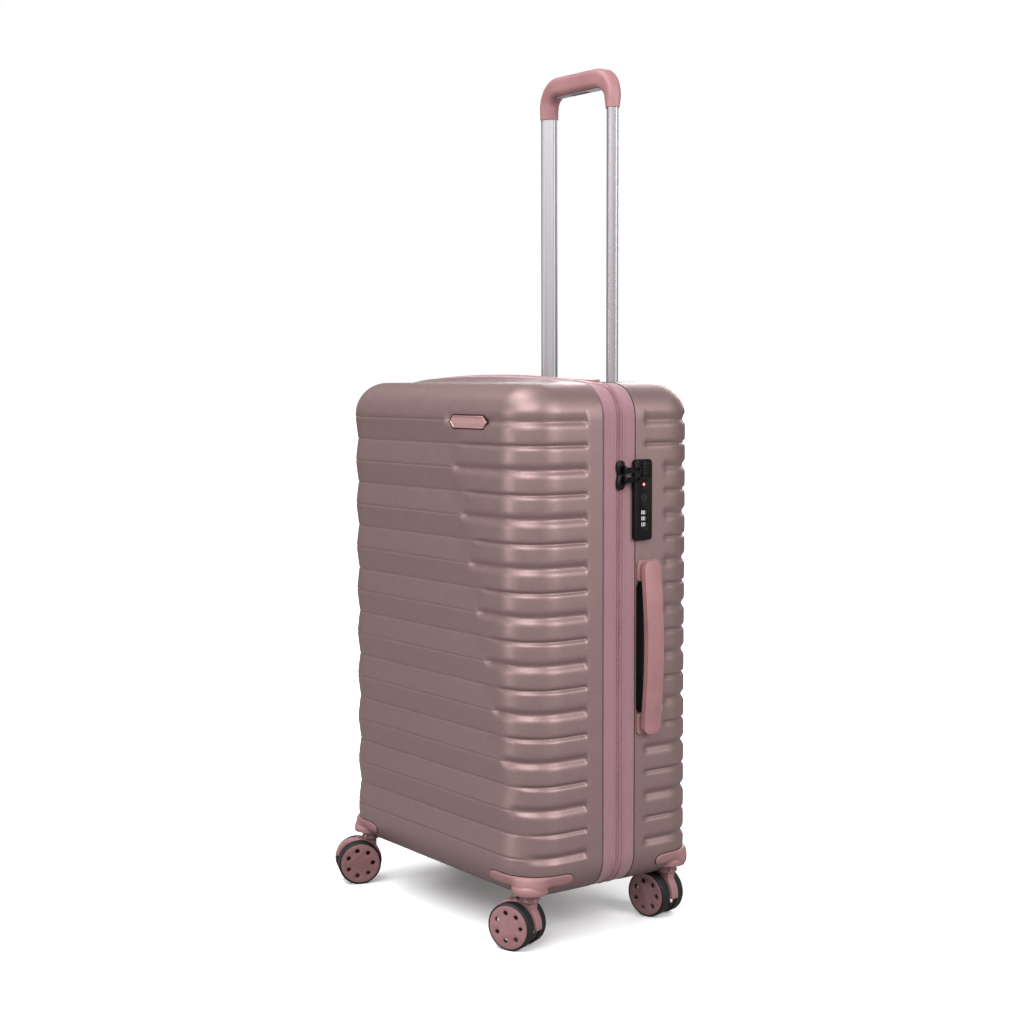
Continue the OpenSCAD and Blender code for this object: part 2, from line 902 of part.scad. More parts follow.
// Squeeze button with its cross link and the two pull rods.
module grip_button() {
    color([0.2, 0.2, 0.22]) place() {
        box([-16, trolley_y - 3.3, grip_top - 23.4], [16, trolley_y + 3.3, grip_top - 15]);
        box([-67.5, trolley_y - 1.7, grip_top - 15.2], [67.5, trolley_y + 1.7, grip_top - 12]);
        for (s = [-1, 1]) {
            translate([s * tube_gap / 2, trolley_y, tube_bottom + 2])
                cylinder(r = 1.5, h = grip_top - 13 - tube_bottom - 2, $fn = 32);
        }
    }
}

// ---- casters ----

// Moves a caster built at the origin to its corner; it trails along -X when az is 0.
module at_caster(x, y, az) {
    translate([x, y, 0]) rotate([0, 0, az]) children();
}

// Fork: round top plate on a flared neck, and a central web between the wheels.
module fork() {
    difference() {
        union() {
            translate([0, 0, plate_z]) cylinder(r = 19.5, h = boss_z - 0.4 - plate_z, $fn = 96);
            translate([0, 0, 58]) cylinder(r1 = 11, r2 = 19.5, h = plate_z - 58, $fn = 96);
            intersection() {
                translate([-caster_trail, 0, wheel_r]) rotate([90, 0, 0])
                    cylinder(r = wheel_r + 2.6, h = 2 * in_face - 1, center = true, $fn = 96);
                union() {
                    box([-70, -10, wheel_r - 6], [4, 10, 61]);
                    box([-10, -10, 25], [30, 10, 61]);
                }
            }
            box([-6.4, 0.5 - in_face, 46], [6.4, in_face - 0.5, 60]);
        }
        translate([0, 0, 48]) cylinder(r = pin_d / 2 + 0.05, h = 26, $fn = 48);
        translate([-caster_trail, 0, wheel_r]) rotate([90, 0, 0])
            cylinder(r = axle_d / 2 + 0.02, h = 40, center = true, $fn = 48);
        box([-80, -20, -10], [-caster_trail - 9, 20, wheel_r + 8]);
    }
}

module axle() {
    translate([-caster_trail, 0, wheel_r]) rotate([90, 0, 0])
        cylinder(r = axle_d / 2, h = 36, center = true, $fn = 48);
}

// One wheel centre; s = 1 is the +Y wheel. Seven holes run through the disc.
module hub(s) {
    translate([-caster_trail, 0, wheel_r]) rotate([-90 * s, 0, 0]) difference() {
        union() {
            translate([0, 0, in_face + wheel_w - 4]) cylinder(r = tyre_r0, h = 4, $fn = 96);
            difference() {
                translate([0, 0, in_face]) cylinder(r = tyre_r0, h = wheel_w, $fn = 96);
                translate([0, 0, in_face - 1]) cylinder(r = tyre_r0 - 2.2, h = wheel_w, $fn = 96);
            }
            translate([0, 0, in_face]) cylinder(r = 6, h = wheel_w, $fn = 64);
        }
        translate([0, 0, 0]) cylinder(r = axle_d / 2 + 0.05, h = 18.4, $fn = 48);
        for (a = [0 : 6]) {
            rotate([0, 0, a * 360 / 7]) translate([17, 0, 0])
                cylinder(r = 3.1, h = 40, $fn = 32);
        }
    }
}

// Tyre with rounded shoulders, shrunk on to the wheel centre.
module tyre(s) {
    translate([-caster_trail, 0, wheel_r]) rotate([-90 * s, 0, 0])
        rotate_extrude($fn = 96) intersection() {
            translate([tyre_r0 - 4, in_face + wheel_w / 2]) rrect(13.2, wheel_w, 2.2);
            translate([tyre_r0, in_face]) square([10, wheel_w]);
        }
}

module fr_fork() {
    color([0.62, 0.45, 0.45]) place() at_caster(sx_f, sy_f, az_fr) fork();
}

module fl_fork() {
    color([0.62, 0.45, 0.45]) place() at_caster(-sx_f, sy_f, az_fl) fork();
}

module br_fork() {
    color([0.62, 0.45, 0.45]) place() at_caster(sx_f, sy_b, az_br) fork();
}

module bl_fork() {
    color([0.62, 0.45, 0.45]) place() at_caster(-sx_f, sy_b, az_bl) fork();
}

module fr_axle() {
    color([0.7, 0.7, 0.72]) place() at_caster(sx_f, sy_f, az_fr) axle();
}

module fl_axle() {
    color([0.7, 0.7, 0.72]) place() at_caster(-sx_f, sy_f, az_fl) axle();
}

module br_axle() {
    color([0.7, 0.7, 0.72]) place() at_caster(sx_f, sy_b, az_br) axle();
}

module bl_axle() {
    color([0.7, 0.7, 0.72]) place() at_caster(-sx_f, sy_b, az_bl) axle();
}

module fr_hub_a() {
    color([0.6, 0.45, 0.45]) place() at_caster(sx_f, sy_f, az_fr) hub(-1);
}

module fr_hub_b() {
    color([0.6, 0.45, 0.45]) place() at_caster(sx_f, sy_f, az_fr) hub(1);
}

module fl_hub_a() {
    color([0.6, 0.45, 0.45]) place() at_caster(-sx_f, sy_f, az_fl) hub(-1);
}

module fl_hub_b() {
    color([0.6, 0.45, 0.45]) place() at_caster(-sx_f, sy_f, az_fl) hub(1);
}

module br_hub_a() {
    color([0.6, 0.45, 0.45]) place() at_caster(sx_f, sy_b, az_br) hub(-1);
}

module br_hub_b() {
    color([0.6, 0.45, 0.45]) place() at_caster(sx_f, sy_b, az_br) hub(1);
}

module bl_hub_a() {
    color([0.6, 0.45, 0.45]) place() at_caster(-sx_f, sy_b, az_bl) hub(-1);
}

module bl_hub_b() {
    color([0.6, 0.45, 0.45]) place() at_caster(-sx_f, sy_b, az_bl) hub(1);
}

module fr_tyre_a() {
    color([0.05, 0.05, 0.05]) place() at_caster(sx_f, sy_f, az_fr) tyre(-1);
}

module fr_tyre_b() {
    color([0.05, 0.05, 0.05]) place() at_caster(sx_f, sy_f, az_fr) tyre(1);
}

module fl_tyre_a() {
    color([0.05, 0.05, 0.05]) place() at_caster(-sx_f, sy_f, az_fl) tyre(-1);
}

module fl_tyre_b() {
    color([0.05, 0.05, 0.05]) place() at_caster(-sx_f, sy_f, az_fl) tyre(1);
}

module br_tyre_a() {
    color([0.05, 0.05, 0.05]) place() at_caster(sx_f, sy_b, az_br) tyre(-1);
}

module br_tyre_b() {
    color([0.05, 0.05, 0.05]) place() at_caster(sx_f, sy_b, az_br) tyre(1);
}

module bl_tyre_a() {
    color([0.05, 0.05, 0.05]) place() at_caster(-sx_f, sy_b, az_bl) tyre(-1);
}

module bl_tyre_b() {
    color([0.05, 0.05, 0.05]) place() at_caster(-sx_f, sy_b, az_bl) tyre(1);
}

// ---- what is drawn ----

back_shell();
back_lining();
back_gusset();
hinge_tape();
outer_tubes();
handle_bezel();
tube_foot();
back_wheel_bases();
back_swivel_pins();
back_screws();
lock_case();
handle_mounts();
packing_straps();
front_shell();
front_lining();
front_gusset();
badge_plate();
front_wheel_bases();
front_swivel_pins();
front_screws();
divider_panel();
lock_release();
lock_key_barrel();
lock_dial_1();
lock_dial_2();
lock_dial_3();
zip_slider_upper();
zip_slider_lower();
zip_pull_upper();
zip_pull_lower();
inner_tubes();
trolley_grip();
grip_insert();
grip_button();
side_handle_grip();
top_handle_grip();
fr_fork();
fr_axle();
fr_hub_a();
fr_hub_b();
fr_tyre_a();
fr_tyre_b();
fl_fork();
fl_axle();
fl_hub_a();
fl_hub_b();
fl_tyre_a();
fl_tyre_b();
br_fork();
br_axle();
br_hub_a();
br_hub_b();
br_tyre_a();
br_tyre_b();
bl_fork();
bl_axle();
bl_hub_a();
bl_hub_b();
bl_tyre_a();
bl_tyre_b();
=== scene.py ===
"""Looks for the four-wheel hard shell suitcase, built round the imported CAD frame."""
import json
import math

import bmesh
import bpy
import numpy as np
from mathutils import Matrix, Vector


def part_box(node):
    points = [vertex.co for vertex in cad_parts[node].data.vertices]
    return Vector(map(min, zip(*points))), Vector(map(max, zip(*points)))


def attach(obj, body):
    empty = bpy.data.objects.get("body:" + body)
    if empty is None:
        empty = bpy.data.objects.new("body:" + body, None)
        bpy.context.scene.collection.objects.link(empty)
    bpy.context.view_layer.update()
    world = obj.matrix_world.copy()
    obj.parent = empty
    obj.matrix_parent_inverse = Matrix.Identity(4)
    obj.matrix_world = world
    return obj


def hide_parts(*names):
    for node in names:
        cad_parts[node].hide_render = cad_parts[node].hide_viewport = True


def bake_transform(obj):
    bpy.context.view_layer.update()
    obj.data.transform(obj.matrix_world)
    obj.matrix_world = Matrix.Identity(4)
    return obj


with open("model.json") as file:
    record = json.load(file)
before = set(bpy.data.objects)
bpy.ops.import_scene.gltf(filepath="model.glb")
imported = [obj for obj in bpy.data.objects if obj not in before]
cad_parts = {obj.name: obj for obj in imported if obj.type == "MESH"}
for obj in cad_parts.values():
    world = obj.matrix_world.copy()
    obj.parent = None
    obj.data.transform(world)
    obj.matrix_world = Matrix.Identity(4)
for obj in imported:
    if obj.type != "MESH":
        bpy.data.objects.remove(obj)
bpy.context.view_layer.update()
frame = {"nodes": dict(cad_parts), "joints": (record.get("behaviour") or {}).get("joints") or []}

MM = 0.001
FRONT_LOW, FRONT_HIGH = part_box("front_shell")
BACK_LOW, BACK_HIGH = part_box("back_shell")

# Case coordinates are mm from the middle of the case in x and y, and from the ground in z.
CX = (FRONT_LOW.x + FRONT_HIGH.x) / 2
CY = (FRONT_LOW.y + BACK_HIGH.y) / 2
HW = (FRONT_HIGH.x - FRONT_LOW.x) / 2 / MM
HD = (BACK_HIGH.y - FRONT_LOW.y) / 2 / MM
ZB = FRONT_LOW.z / MM
ZT = FRONT_HIGH.z / MM
CORNER_R = 52.0
EDGE_R = 42.0
SEAM_FRONT = round((FRONT_HIGH.y - CY) / MM, 2)
SEAM_BACK = round((BACK_LOW.y - CY) / MM, 2)
ZIP_Y = 3.0
SAME_POINT = 2e-6

# Ribs: creases one pitch apart with a valley below each, and where they stop short of the seam.
RIB_TOP = ZT - 44.0
RIB_PITCH = 57.0
VALLEY_DROP = 28.7
CREASES = 10
VALLEYS = 9
RIB_LIMIT = 3.95
SLANT_START, SLANT_STEP = 40.0, 16.3
FRONT_RIB_END, BACK_RIB_END = 44.0, 42.0
SHORT_RIB_END, SHORT_LOW, SHORT_HIGH = 73.0, 239, 581
CROWN = 10.5

# Holes: finger pockets, cups of the handle legs, pull handle bezel and lock.
POCKET_L, POCKET_W, POCKET_SHIFT = 160.0, 39.5, 3.75
LEG_REACH, CUP_L, CUP_W = 93, 10.2, 13.5
BEZEL_X, BEZEL_Y = 86.4, 16.9
LOCK_Y0, LOCK_Y1, LOCK_INSET = 20, 47.4, 5.6
LAMP_Y, LAMP_RISE = 36.0, 67

# Wheel bases and forks.
CASTERS = ("fr", "fl", "br", "bl")
BOSS_R, BOSS_HOLE_R = 22.0, 22.4
BOSS_Z, BOSS_LIP, BOSS_TOP = 72.5, 68.5, 84.0
PLATE_R = 57.0
NECK_R, ARM_TOP, NECK_TOP = 9.5, 61.5, 70.0

# Pull handle: tube section and its turn, and the grip.
TUBE_W, TUBE_D, TUBE_TWIST, TUBE_REACH = 21.0, 14.5, 35.0, 10.8
GRIP_BAR, GRIP_BEND, SLEEVE = 24.5, 26.0, 2.4
GRIP_DROP, BUTTON_DROP = 4.2, 3.0


# ---- helpers

def pt(x, y, z):
    """A point given in case coordinates, in metres in the frame."""
    return Vector((CX + x * MM, CY + y * MM, z * MM))


def smooth(t):
    """Smooth step from 0 to 1, for numbers and arrays."""
    t = np.clip(t, 0.0, 1.0)
    return t * t * (3 - 2 * t)


def case_box(node):
    """Lowest and highest corner of a CAD node in case coordinates."""
    return [((v.x - CX) / MM, (v.y - CY) / MM, v.z / MM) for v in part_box(node)]


def middle_of(node):
    """Middle of a CAD node in case coordinates."""
    return [(a + b) / 2 for a, b in zip(*case_box(node))]


def joint_place(name):
    """Where a joint sits, in metres in the frame."""
    return next(j["pos_m"] for j in frame["joints"] if j["name"] == name)


def add_object(name, data):
    """A new object in the scene."""
    obj = bpy.data.objects.new(name, data)
    bpy.context.scene.collection.objects.link(obj)
    return obj


def finish_mesh(obj, angle=35):
    """Shades an object smooth, except at edges sharper than the angle."""
    mesh = obj.data
    mesh.polygons.foreach_set("use_smooth", [True] * len(mesh.polygons))
    mesh.set_sharp_from_angle(angle=math.radians(angle))
    return obj


def mesh_object(name, verts, faces, angle=35):
    """A new object from points in case coordinates and faces."""
    mesh = bpy.data.meshes.new(name)
    mesh.from_pydata([pt(*v) for v in verts], [], faces)
    mesh.validate()
    return finish_mesh(add_object(name, mesh), angle)


def solid(name, verts, faces, angle=35):
    """A new closed object with its faces turned outwards."""
    obj = mesh_object(name, verts, faces, angle)
    bm = bmesh.new()
    bm.from_mesh(obj.data)
    bmesh.ops.recalc_face_normals(bm, faces=bm.faces)
    bm.to_mesh(obj.data)
    bm.free()
    return obj


def bmesh_object(name, bm):
    """A new object from a bmesh whose points are already in metres in the frame."""
    mesh = bpy.data.meshes.new(name)
    bm.to_mesh(mesh)
    bm.free()
    return add_object(name, mesh)


def apply_modifiers(obj):
    """Bakes an object's modifiers into its mesh."""
    graph = bpy.context.evaluated_depsgraph_get()
    mesh = bpy.data.meshes.new_from_object(obj.evaluated_get(graph))
    obj.modifiers.clear()
    old = obj.data
    obj.data = mesh
    bpy.data.meshes.remove(old)


def paint(obj, material):
    """Makes this the only material of an object."""
    obj.data.materials.clear()
    obj.data.materials.append(material)


def place(obj, material, body, slot, *nodes):
    """Paints a piece, rides it on a body and hides the CAD nodes it stands for; slot, the finish name, is not
    used.
    """
    paint(obj, material)
    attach(obj, body)
    if nodes:
        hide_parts(*nodes)
    return obj


def join(name, objects):
    """Joins several mesh objects into one."""
    bm = bmesh.new()
    for o in objects:
        bm.from_mesh(o.data)
        bpy.data.objects.remove(o)
    return bmesh_object(name, bm)


def cut(obj, *cutters):
    """Subtracts closed cutters from a closed object, then removes the cutters."""
    for c in cutters:
        m = obj.modifiers.new("cut", "BOOLEAN")
        m.operation = "DIFFERENCE"
        m.solver = "EXACT"
        m.object = c
        apply_modifiers(obj)
        bpy.data.objects.remove(c)


def circle(x, y, r, count):
    """Points round a circle."""
    turns = np.linspace(0, 2 * math.pi, count + 1)[:-1]
    return [(x + r * math.cos(a), y + r * math.sin(a)) for a in turns]


def rounded_points(w, h, r, steps=8):
    """Corner-rounded rectangle outline, counter-clockwise, centred."""
    out = []
    for cx, cy, a0 in ((w / 2 - r, h / 2 - r, 0), (r - w / 2, h / 2 - r, 90),
                       (r - w / 2, r - h / 2, 180), (w / 2 - r, r - h / 2, 270)):
        for k in range(steps + 1):
            a = math.radians(a0 + 90 * k / steps)
            out.append((cx + r * math.cos(a), cy + r * math.sin(a)))
    return out


def loft(rings, hoop=False):
    """Points and faces over rings of equal length, capped at both ends or closed into a hoop."""
    n = len(rings[0])
    total = len(rings) * n
    faces = []
    for start in range(0, total if hoop else total - n, n):
        for k in range(n):
            a, b = start + k, start + (k + 1) % n
            faces.append((a, b, (b + n) % total, (a + n) % total))
    if not hoop:
        faces += [tuple(reversed(range(n))), tuple(range(total - n, total))]
    return [p for ring in rings for p in ring], faces


def double_grid(rows, columns):
    """Faces of two layers of a grid of points, the second layer turned over."""
    layer = rows * columns
    faces = []
    for r in range(rows - 1):
        for c in range(columns - 1):
            a = r * columns + c
            b = a + columns
            faces += [(a, a + 1, b + 1, b), (a + layer, b + layer, b + 1 + layer, a + 1 + layer)]
    return faces


def rim_faces(rim, layer):
    """Faces between a closed run of points and the same points one layer further on."""
    return [(a, b, b + layer, a + layer) for a, b in zip(rim, rim[1:] + rim[:1])]


def brick_faces(a):
    """Faces of a six-sided block whose eight points start at a."""
    return [(a, a + 1, a + 2, a + 3), (a + 7, a + 6, a + 5, a + 4)] + [
        (a + k, a + k + 4, a + (k + 1) % 4 + 4, a + (k + 1) % 4) for k in range(4)]


def prism(name, outline, low, high):
    """An upright prism over an outline of (x, y), between two levels."""
    return solid(name, *loft([[(x, y, z) for x, y in outline] for z in (low, high)]))


def slab(x0, x1, y0, y1, z0, z1):
    """A box for cutting."""
    return prism("cutter", [(x0, y0), (x1, y0), (x1, y1), (x0, y1)], z0, z1)


def bevelled(obj, width, segments=3, angle=35):
    """Rounds the edges of a piece; the width is in mm."""
    m = obj.modifiers.new("bevel", "BEVEL")
    m.width = width * MM
    m.segments = segments
    m.limit_method = "ANGLE"
    m.angle_limit = math.radians(angle)
    apply_modifiers(obj)
    return finish_mesh(obj, angle)


def cad_copy(node):
    """A bmesh of a CAD node, with its doubled points merged."""
    bm = bmesh.new()
    bm.from_mesh(frame["nodes"][node].data)
    bmesh.ops.remove_doubles(bm, verts=bm.verts, dist=SAME_POINT)
    return bm


def refined(node, body, slot, bevel, material):
    """A bevelled copy of a CAD node that stands for it."""
    bm = cad_copy(node)
    bmesh.ops.dissolve_limit(bm, angle_limit=math.radians(1.0), verts=bm.verts, edges=bm.edges)
    obj = bevelled(finish_mesh(bmesh_object("fine_" + node, bm)), bevel, angle=30)
    return place(obj, material, body, slot, node)


# ---- materials

class Nodes:
    """Small wrapper for building a node tree."""

    def __init__(self, name):
        self.material = bpy.data.materials.new(name)
        self.material.use_nodes = True
        self.tree = self.material.node_tree
        self.shader = self.tree.nodes["Principled BSDF"]

    def feed(self, socket, value):
        """Links another node's output to a socket, or sets a plain value on it."""
        if hasattr(value, "is_output"):
            self.tree.links.new(value, socket)
        else:
            socket.default_value = value

    def add(self, kind, **inputs):
        node = self.tree.nodes.new(kind)
        for key, value in inputs.items():
            self.feed(node.inputs[key], value)
        return node

    def set(self, **values):
        names = {"color": "Base Color", "metallic": "Metallic", "roughness": "Roughness",
                 "coat": "Coat Weight", "coat_roughness": "Coat Roughness", "sheen": "Sheen Weight",
                 "sheen_roughness": "Sheen Roughness", "specular": "Specular IOR Level"}
        for key, value in values.items():
            self.feed(self.shader.inputs[names[key]], value)

    def position(self, scale=(1, 1, 1)):
        coords = self.add("ShaderNodeTexCoord")
        return self.add("ShaderNodeMapping", Vector=coords.outputs["Object"], Scale=scale).outputs["Vector"]

    def noise(self, scale, detail=2.0, stretch=(1, 1, 1)):
        return self.add("ShaderNodeTexNoise", Vector=self.position(stretch), Scale=scale,
                        Detail=detail).outputs["Fac"]

    def ramp(self, value, low, high, a=0.0, b=1.0):
        limits = {"From Min": low, "From Max": high, "To Min": a, "To Max": b}
        return self.add("ShaderNodeMapRange", Value=value, **limits).outputs["Result"]

    def mix(self, factor, a, b):
        node = self.add("ShaderNodeMix")
        node.data_type = "RGBA"
        for key, value in ((0, factor), (6, a), (7, b)):
            self.feed(node.inputs[key], value)
        return node.outputs[2]

    def math(self, operation, a, b=0.0):
        node = self.add("ShaderNodeMath")
        node.operation = operation
        self.feed(node.inputs[0], a)
        self.feed(node.inputs[1], b)
        return node.outputs[0]

    def bump(self, height, strength, distance):
        node = self.add("ShaderNodeBump", Height=height, Strength=strength, Distance=distance)
        self.feed(self.shader.inputs["Normal"], node.outputs["Normal"])


def rgb(r, g, b):
    """sRGB 0-255 to a linear RGBA colour."""
    def line(c):
        c /= 255
        return c / 12.92 if c <= 0.04045 else ((c + 0.055) / 1.055) ** 2.4
    return (line(r), line(g), line(b), 1.0)


def shade(color, factor):
    """The colour made darker or lighter."""
    return tuple(min(1.0, c * factor) for c in color[:3]) + (1.0,)


def shell_material():
    """Satin metallic lacquer over moulded plastic: fine flake, faint orange peel and scuffs."""
    n = Nodes("shell_lacquer")
    flake = n.noise(2600, 0.0)
    cloud = n.noise(6, 3.0)
    base = n.mix(n.ramp(flake, 0.35, 0.7), rgb(119, 97, 96), rgb(147, 124, 122))
    n.set(color=n.mix(n.ramp(cloud, 0.3, 0.7), base, rgb(134, 111, 110)),
          metallic=0.6, roughness=n.ramp(n.noise(90, 3.0), 0.3, 0.7, 0.42, 0.5))
    peel = n.noise(420, 2.0)
    n.bump(n.math("ADD", n.math("MULTIPLY", peel, 0.6), n.math("MULTIPLY", flake, 0.25)), 0.18, 0.0004)
    return n.material


def moulded(name, color, roughness=0.42, coat=0.1, grain=0.25, vary=0.08):
    """Moulded plastic with slight grain and colour drift."""
    n = Nodes(name)
    drift = n.noise(25, 3.0)
    n.set(color=n.mix(n.ramp(drift, 0.3, 0.7), shade(color, 1 - vary * 2), shade(color, 1 + vary)),
          roughness=n.ramp(n.noise(160, 2.0), 0.3, 0.7, roughness - 0.05, roughness + 0.05),
          coat=coat, coat_roughness=0.25)
    n.bump(n.noise(1500, 2.0), grain, 0.0002)
    return n.material


def cloth_material(name, color, thread=0.0007, contrast=0.35):
    """Woven cloth: two crossed thread waves with fuzz."""
    n = Nodes(name)
    split = n.add("ShaderNodeSeparateXYZ", Vector=n.position())
    k = math.pi / thread
    along = n.math("ADD", split.outputs["Y"], n.math("MULTIPLY", split.outputs["X"], 0.6))
    up = n.math("ADD", split.outputs["Z"], n.math("MULTIPLY", split.outputs["X"], 0.8))
    warp = n.math("ABSOLUTE", n.math("SINE", n.math("MULTIPLY", along, k)))
    weft = n.math("ABSOLUTE", n.math("SINE", n.math("MULTIPLY", up, k)))
    weave = n.math("MAXIMUM", warp, weft)
    fuzz = n.noise(900, 3.0)
    blotch = n.noise(18, 3.0)
    dark = shade(color, 1 - contrast)
    base = n.mix(n.ramp(weave, 0.3, 1.0), dark, color)
    n.set(color=n.mix(n.ramp(blotch, 0.2, 0.8, 0.0, 0.25), base, dark), roughness=0.8,
          sheen=0.3, sheen_roughness=0.5, specular=0.25)
    n.bump(n.math("ADD", weave, n.math("MULTIPLY", fuzz, 0.5)), 0.5, 0.0002)
    return n.material


def metal_material(name, color, streak, roughness=0.28, metallic=1.0):
    """Drawn or brushed metal with streaks."""
    n = Nodes(name)
    lines = n.noise(1.0, 3.0, stretch=streak)
    n.set(color=n.mix(n.ramp(lines, 0.3, 0.7), shade(color, 0.82), color), metallic=metallic,
          roughness=n.ramp(lines, 0.3, 0.7, roughness - 0.05, roughness + 0.08))
    n.bump(lines, 0.06, 0.0002)
    return n.material


def rubber_material():
    """Dark rubber with fine grain and a little dust."""
    n = Nodes("tyre_rubber")
    grain = n.noise(700, 3.0)
    dust = n.noise(60, 4.0)
    n.set(color=n.mix(n.ramp(dust, 0.45, 0.75), rgb(8, 9, 8), rgb(26, 28, 26)),
          roughness=n.ramp(grain, 0.3, 0.7, 0.5, 0.68), specular=0.4)
    n.bump(grain, 0.3, 0.0003)
    return n.material


def black_plastic(name, level, roughness=0.4):
    """Black or grey moulded plastic; the level is its darkest sRGB value."""
    n = Nodes(name)
    n.set(color=n.mix(n.ramp(n.noise(50, 3.0), 0.3, 0.7), rgb(level, level, level + 1),
                      rgb(level + 6, level + 6, level + 7)),
          roughness=n.ramp(n.noise(200, 2.0), 0.3, 0.7, roughness - 0.05, roughness + 0.08), specular=0.18)
    n.bump(n.noise(1400, 2.0), 0.2, 0.0002)
    return n.material


M_SHELL = shell_material()
M_BAND = cloth_material("band_weave", rgb(146, 108, 116))
M_ZIP = cloth_material("zip_tape_weave", rgb(132, 92, 98), thread=0.0005)
M_COIL = moulded("zip_coil_nylon", rgb(158, 116, 122), roughness=0.35, grain=0.1)
M_GUARD = moulded("guard_plastic", rgb(146, 106, 107), roughness=0.5, coat=0.0)
M_GRIP = moulded("grip_plastic", rgb(146, 103, 105), roughness=0.52, coat=0.0)
M_HUB = moulded("wheel_plastic", rgb(138, 98, 100), roughness=0.4)
M_BEZEL = moulded("bezel_plastic", rgb(112, 82, 88), roughness=0.5)
M_TUBE = metal_material("drawn_aluminium", (0.37, 0.35, 0.37, 1), (260, 260, 1), 0.44, 0.8)
M_STEEL = metal_material("plain_steel", (0.5, 0.5, 0.52, 1), (300, 300, 60))
M_SILVER = metal_material("satin_silver", (0.72, 0.71, 0.74, 1), (3, 500, 500), 0.35)
M_BADGE = metal_material("badge_metal", rgb(214, 170, 168), (4, 300, 400), 0.34, 0.7)
# Badge frame colour: painted shade, dark like the recess round the plate.
M_FRAME_PAINTED_SHADE = metal_material("badge_edge_painted_shade", rgb(84, 58, 56), (4, 300, 400), 0.35)
M_BUTTON = black_plastic("button_grey", 70, 0.45)
M_KEY = metal_material("key_steel", (0.1, 0.1, 0.11, 1), (300, 300, 60))
M_PRINT = moulded("white_print", rgb(232, 232, 230), roughness=0.5, grain=0.1, vary=0.03)
M_RED = moulded("red_lamp", rgb(186, 40, 34), roughness=0.3, grain=0.1)
M_TYRE = rubber_material()
M_BLACK = black_plastic("lock_black", 3)
M_BLACK_METAL = black_plastic("zip_black_lacquer", 4, 0.35)
M_DIAL = black_plastic("dial_plastic", 34)
M_LINING = cloth_material("lining_weave", rgb(96, 88, 92), thread=0.0006, contrast=0.25)
M_MESH = cloth_material("divider_mesh", rgb(70, 65, 68), thread=0.0014, contrast=0.6)
M_STRAP = cloth_material("strap_weave", rgb(38, 37, 40), thread=0.0009)
# Dark plastic inside the case, also used as painted shade in the line round the corner guards.
M_DARK = black_plastic("inner_plastic", 20, 0.5)
M_THREAD = moulded("sewing_thread", rgb(156, 118, 124), roughness=0.7, grain=0.4)


# ---- camera, floor and light

def make_camera():
    """Camera at the photograph's viewing angle, given from the middle of the case."""
    data = bpy.data.cameras.new("camera")
    data.sensor_width = 36
    data.lens = 61.16
    cam = add_object("camera", data)
    yaw, pitch, roll = (math.radians(a) for a in (53.94, 4.42, -0.13))
    turn = (Matrix.Rotation(yaw, 4, "Z") @ Matrix.Rotation(math.pi / 2 - pitch, 4, "X")
            @ Matrix.Rotation(roll, 4, "Z"))
    cam.matrix_world = Matrix.Translation(pt(1794.5, -1311.4, 674.5)) @ turn
    bpy.context.scene.camera = cam


def area_light(name, where, target, size, power):
    """Soft light from one place towards another, in case coordinates; its size is in metres."""
    data = bpy.data.lights.new(name, "AREA")
    data.shape = "RECTANGLE"
    data.size, data.size_y = size
    data.energy = power
    light = add_object(name, data)
    light.location = pt(*where)
    light.rotation_euler = (pt(*target) - light.location).to_track_quat("-Z", "Y").to_euler()


def make_world():
    """White surroundings for the eye, and a softer grey light from them."""
    world = bpy.data.worlds.new("studio")
    world.use_nodes = True
    tree = world.node_tree
    back = tree.nodes["Background"]
    back.inputs["Color"].default_value = (1, 1, 1, 1)
    path = tree.nodes.new("ShaderNodeLightPath")
    level = tree.nodes.new("ShaderNodeMapRange")
    level.inputs["To Min"].default_value = 0.3
    level.inputs["To Max"].default_value = 1.0
    tree.links.new(path.outputs["Is Camera Ray"], level.inputs["Value"])
    tree.links.new(level.outputs["Result"], back.inputs["Strength"])
    bpy.context.scene.world = world


def floor_material():
    """White sweep: paler for the eye than as a mirror under the case, and brighter far away."""
    n = Nodes("floor_pale")
    seen = n.add("ShaderNodeLightPath").outputs["Is Camera Ray"]
    cloud = n.mix(n.noise(3, 2.0), rgb(250, 250, 250), rgb(255, 255, 255))
    away = n.add("ShaderNodeVectorMath")
    away.operation = "LENGTH"
    n.feed(away.inputs[0], n.position())
    n.set(color=n.mix(seen, rgb(150, 148, 148), cloud), roughness=0.9, specular=0.1)
    glow = n.math("MULTIPLY", n.ramp(away.outputs["Value"], 0.1, 1.3), seen)
    n.feed(n.shader.inputs["Emission Color"], (1, 1, 1, 1))
    n.feed(n.shader.inputs["Emission Strength"], glow)
    return n.material


def make_studio():
    """Pale floor, world and lights."""
    mesh = bpy.data.meshes.new("floor")
    s = 30.0
    mesh.from_pydata([(-s, -s, 0), (s, -s, 0), (s, s, 0), (-s, s, 0)], [], [(0, 1, 2, 3)])
    floor = add_object("floor", mesh)
    paint(floor, floor_material())
    make_world()
    area_light("key", (1250, -1900, 2100), (150, -80, 340), (2.1, 1.5), 74)
    area_light("strip", (-560, -2330, 560), (190, -120, 400), (0.4, 1.8), 21)
    area_light("top", (-500, -900, 2700), (0, -60, 350), (1.8, 1.4), 46)
    area_light("back", (-1700, 2300, 1700), (0, 60, 380), (1.8, 1.6), 60)
    area_light("side", (2500, 700, 1500), (200, 0, 400), (1.2, 1.6), 60)
    bpy.context.scene.view_settings.view_transform = "Standard"


# ---- shells

def outline_stops(seam, stops):
    """Distances from the middle along a side wall, finer where a groove starts or ends."""
    far = HD - CORNER_R
    values = set(np.round(np.linspace(seam, far, 8), 3))
    for s in stops:
        values.update((s - 0.5, s + 0.4, s + 1.2, s + 2.2, s + 3.4))
    return sorted(v for v in values if seam <= v <= far)


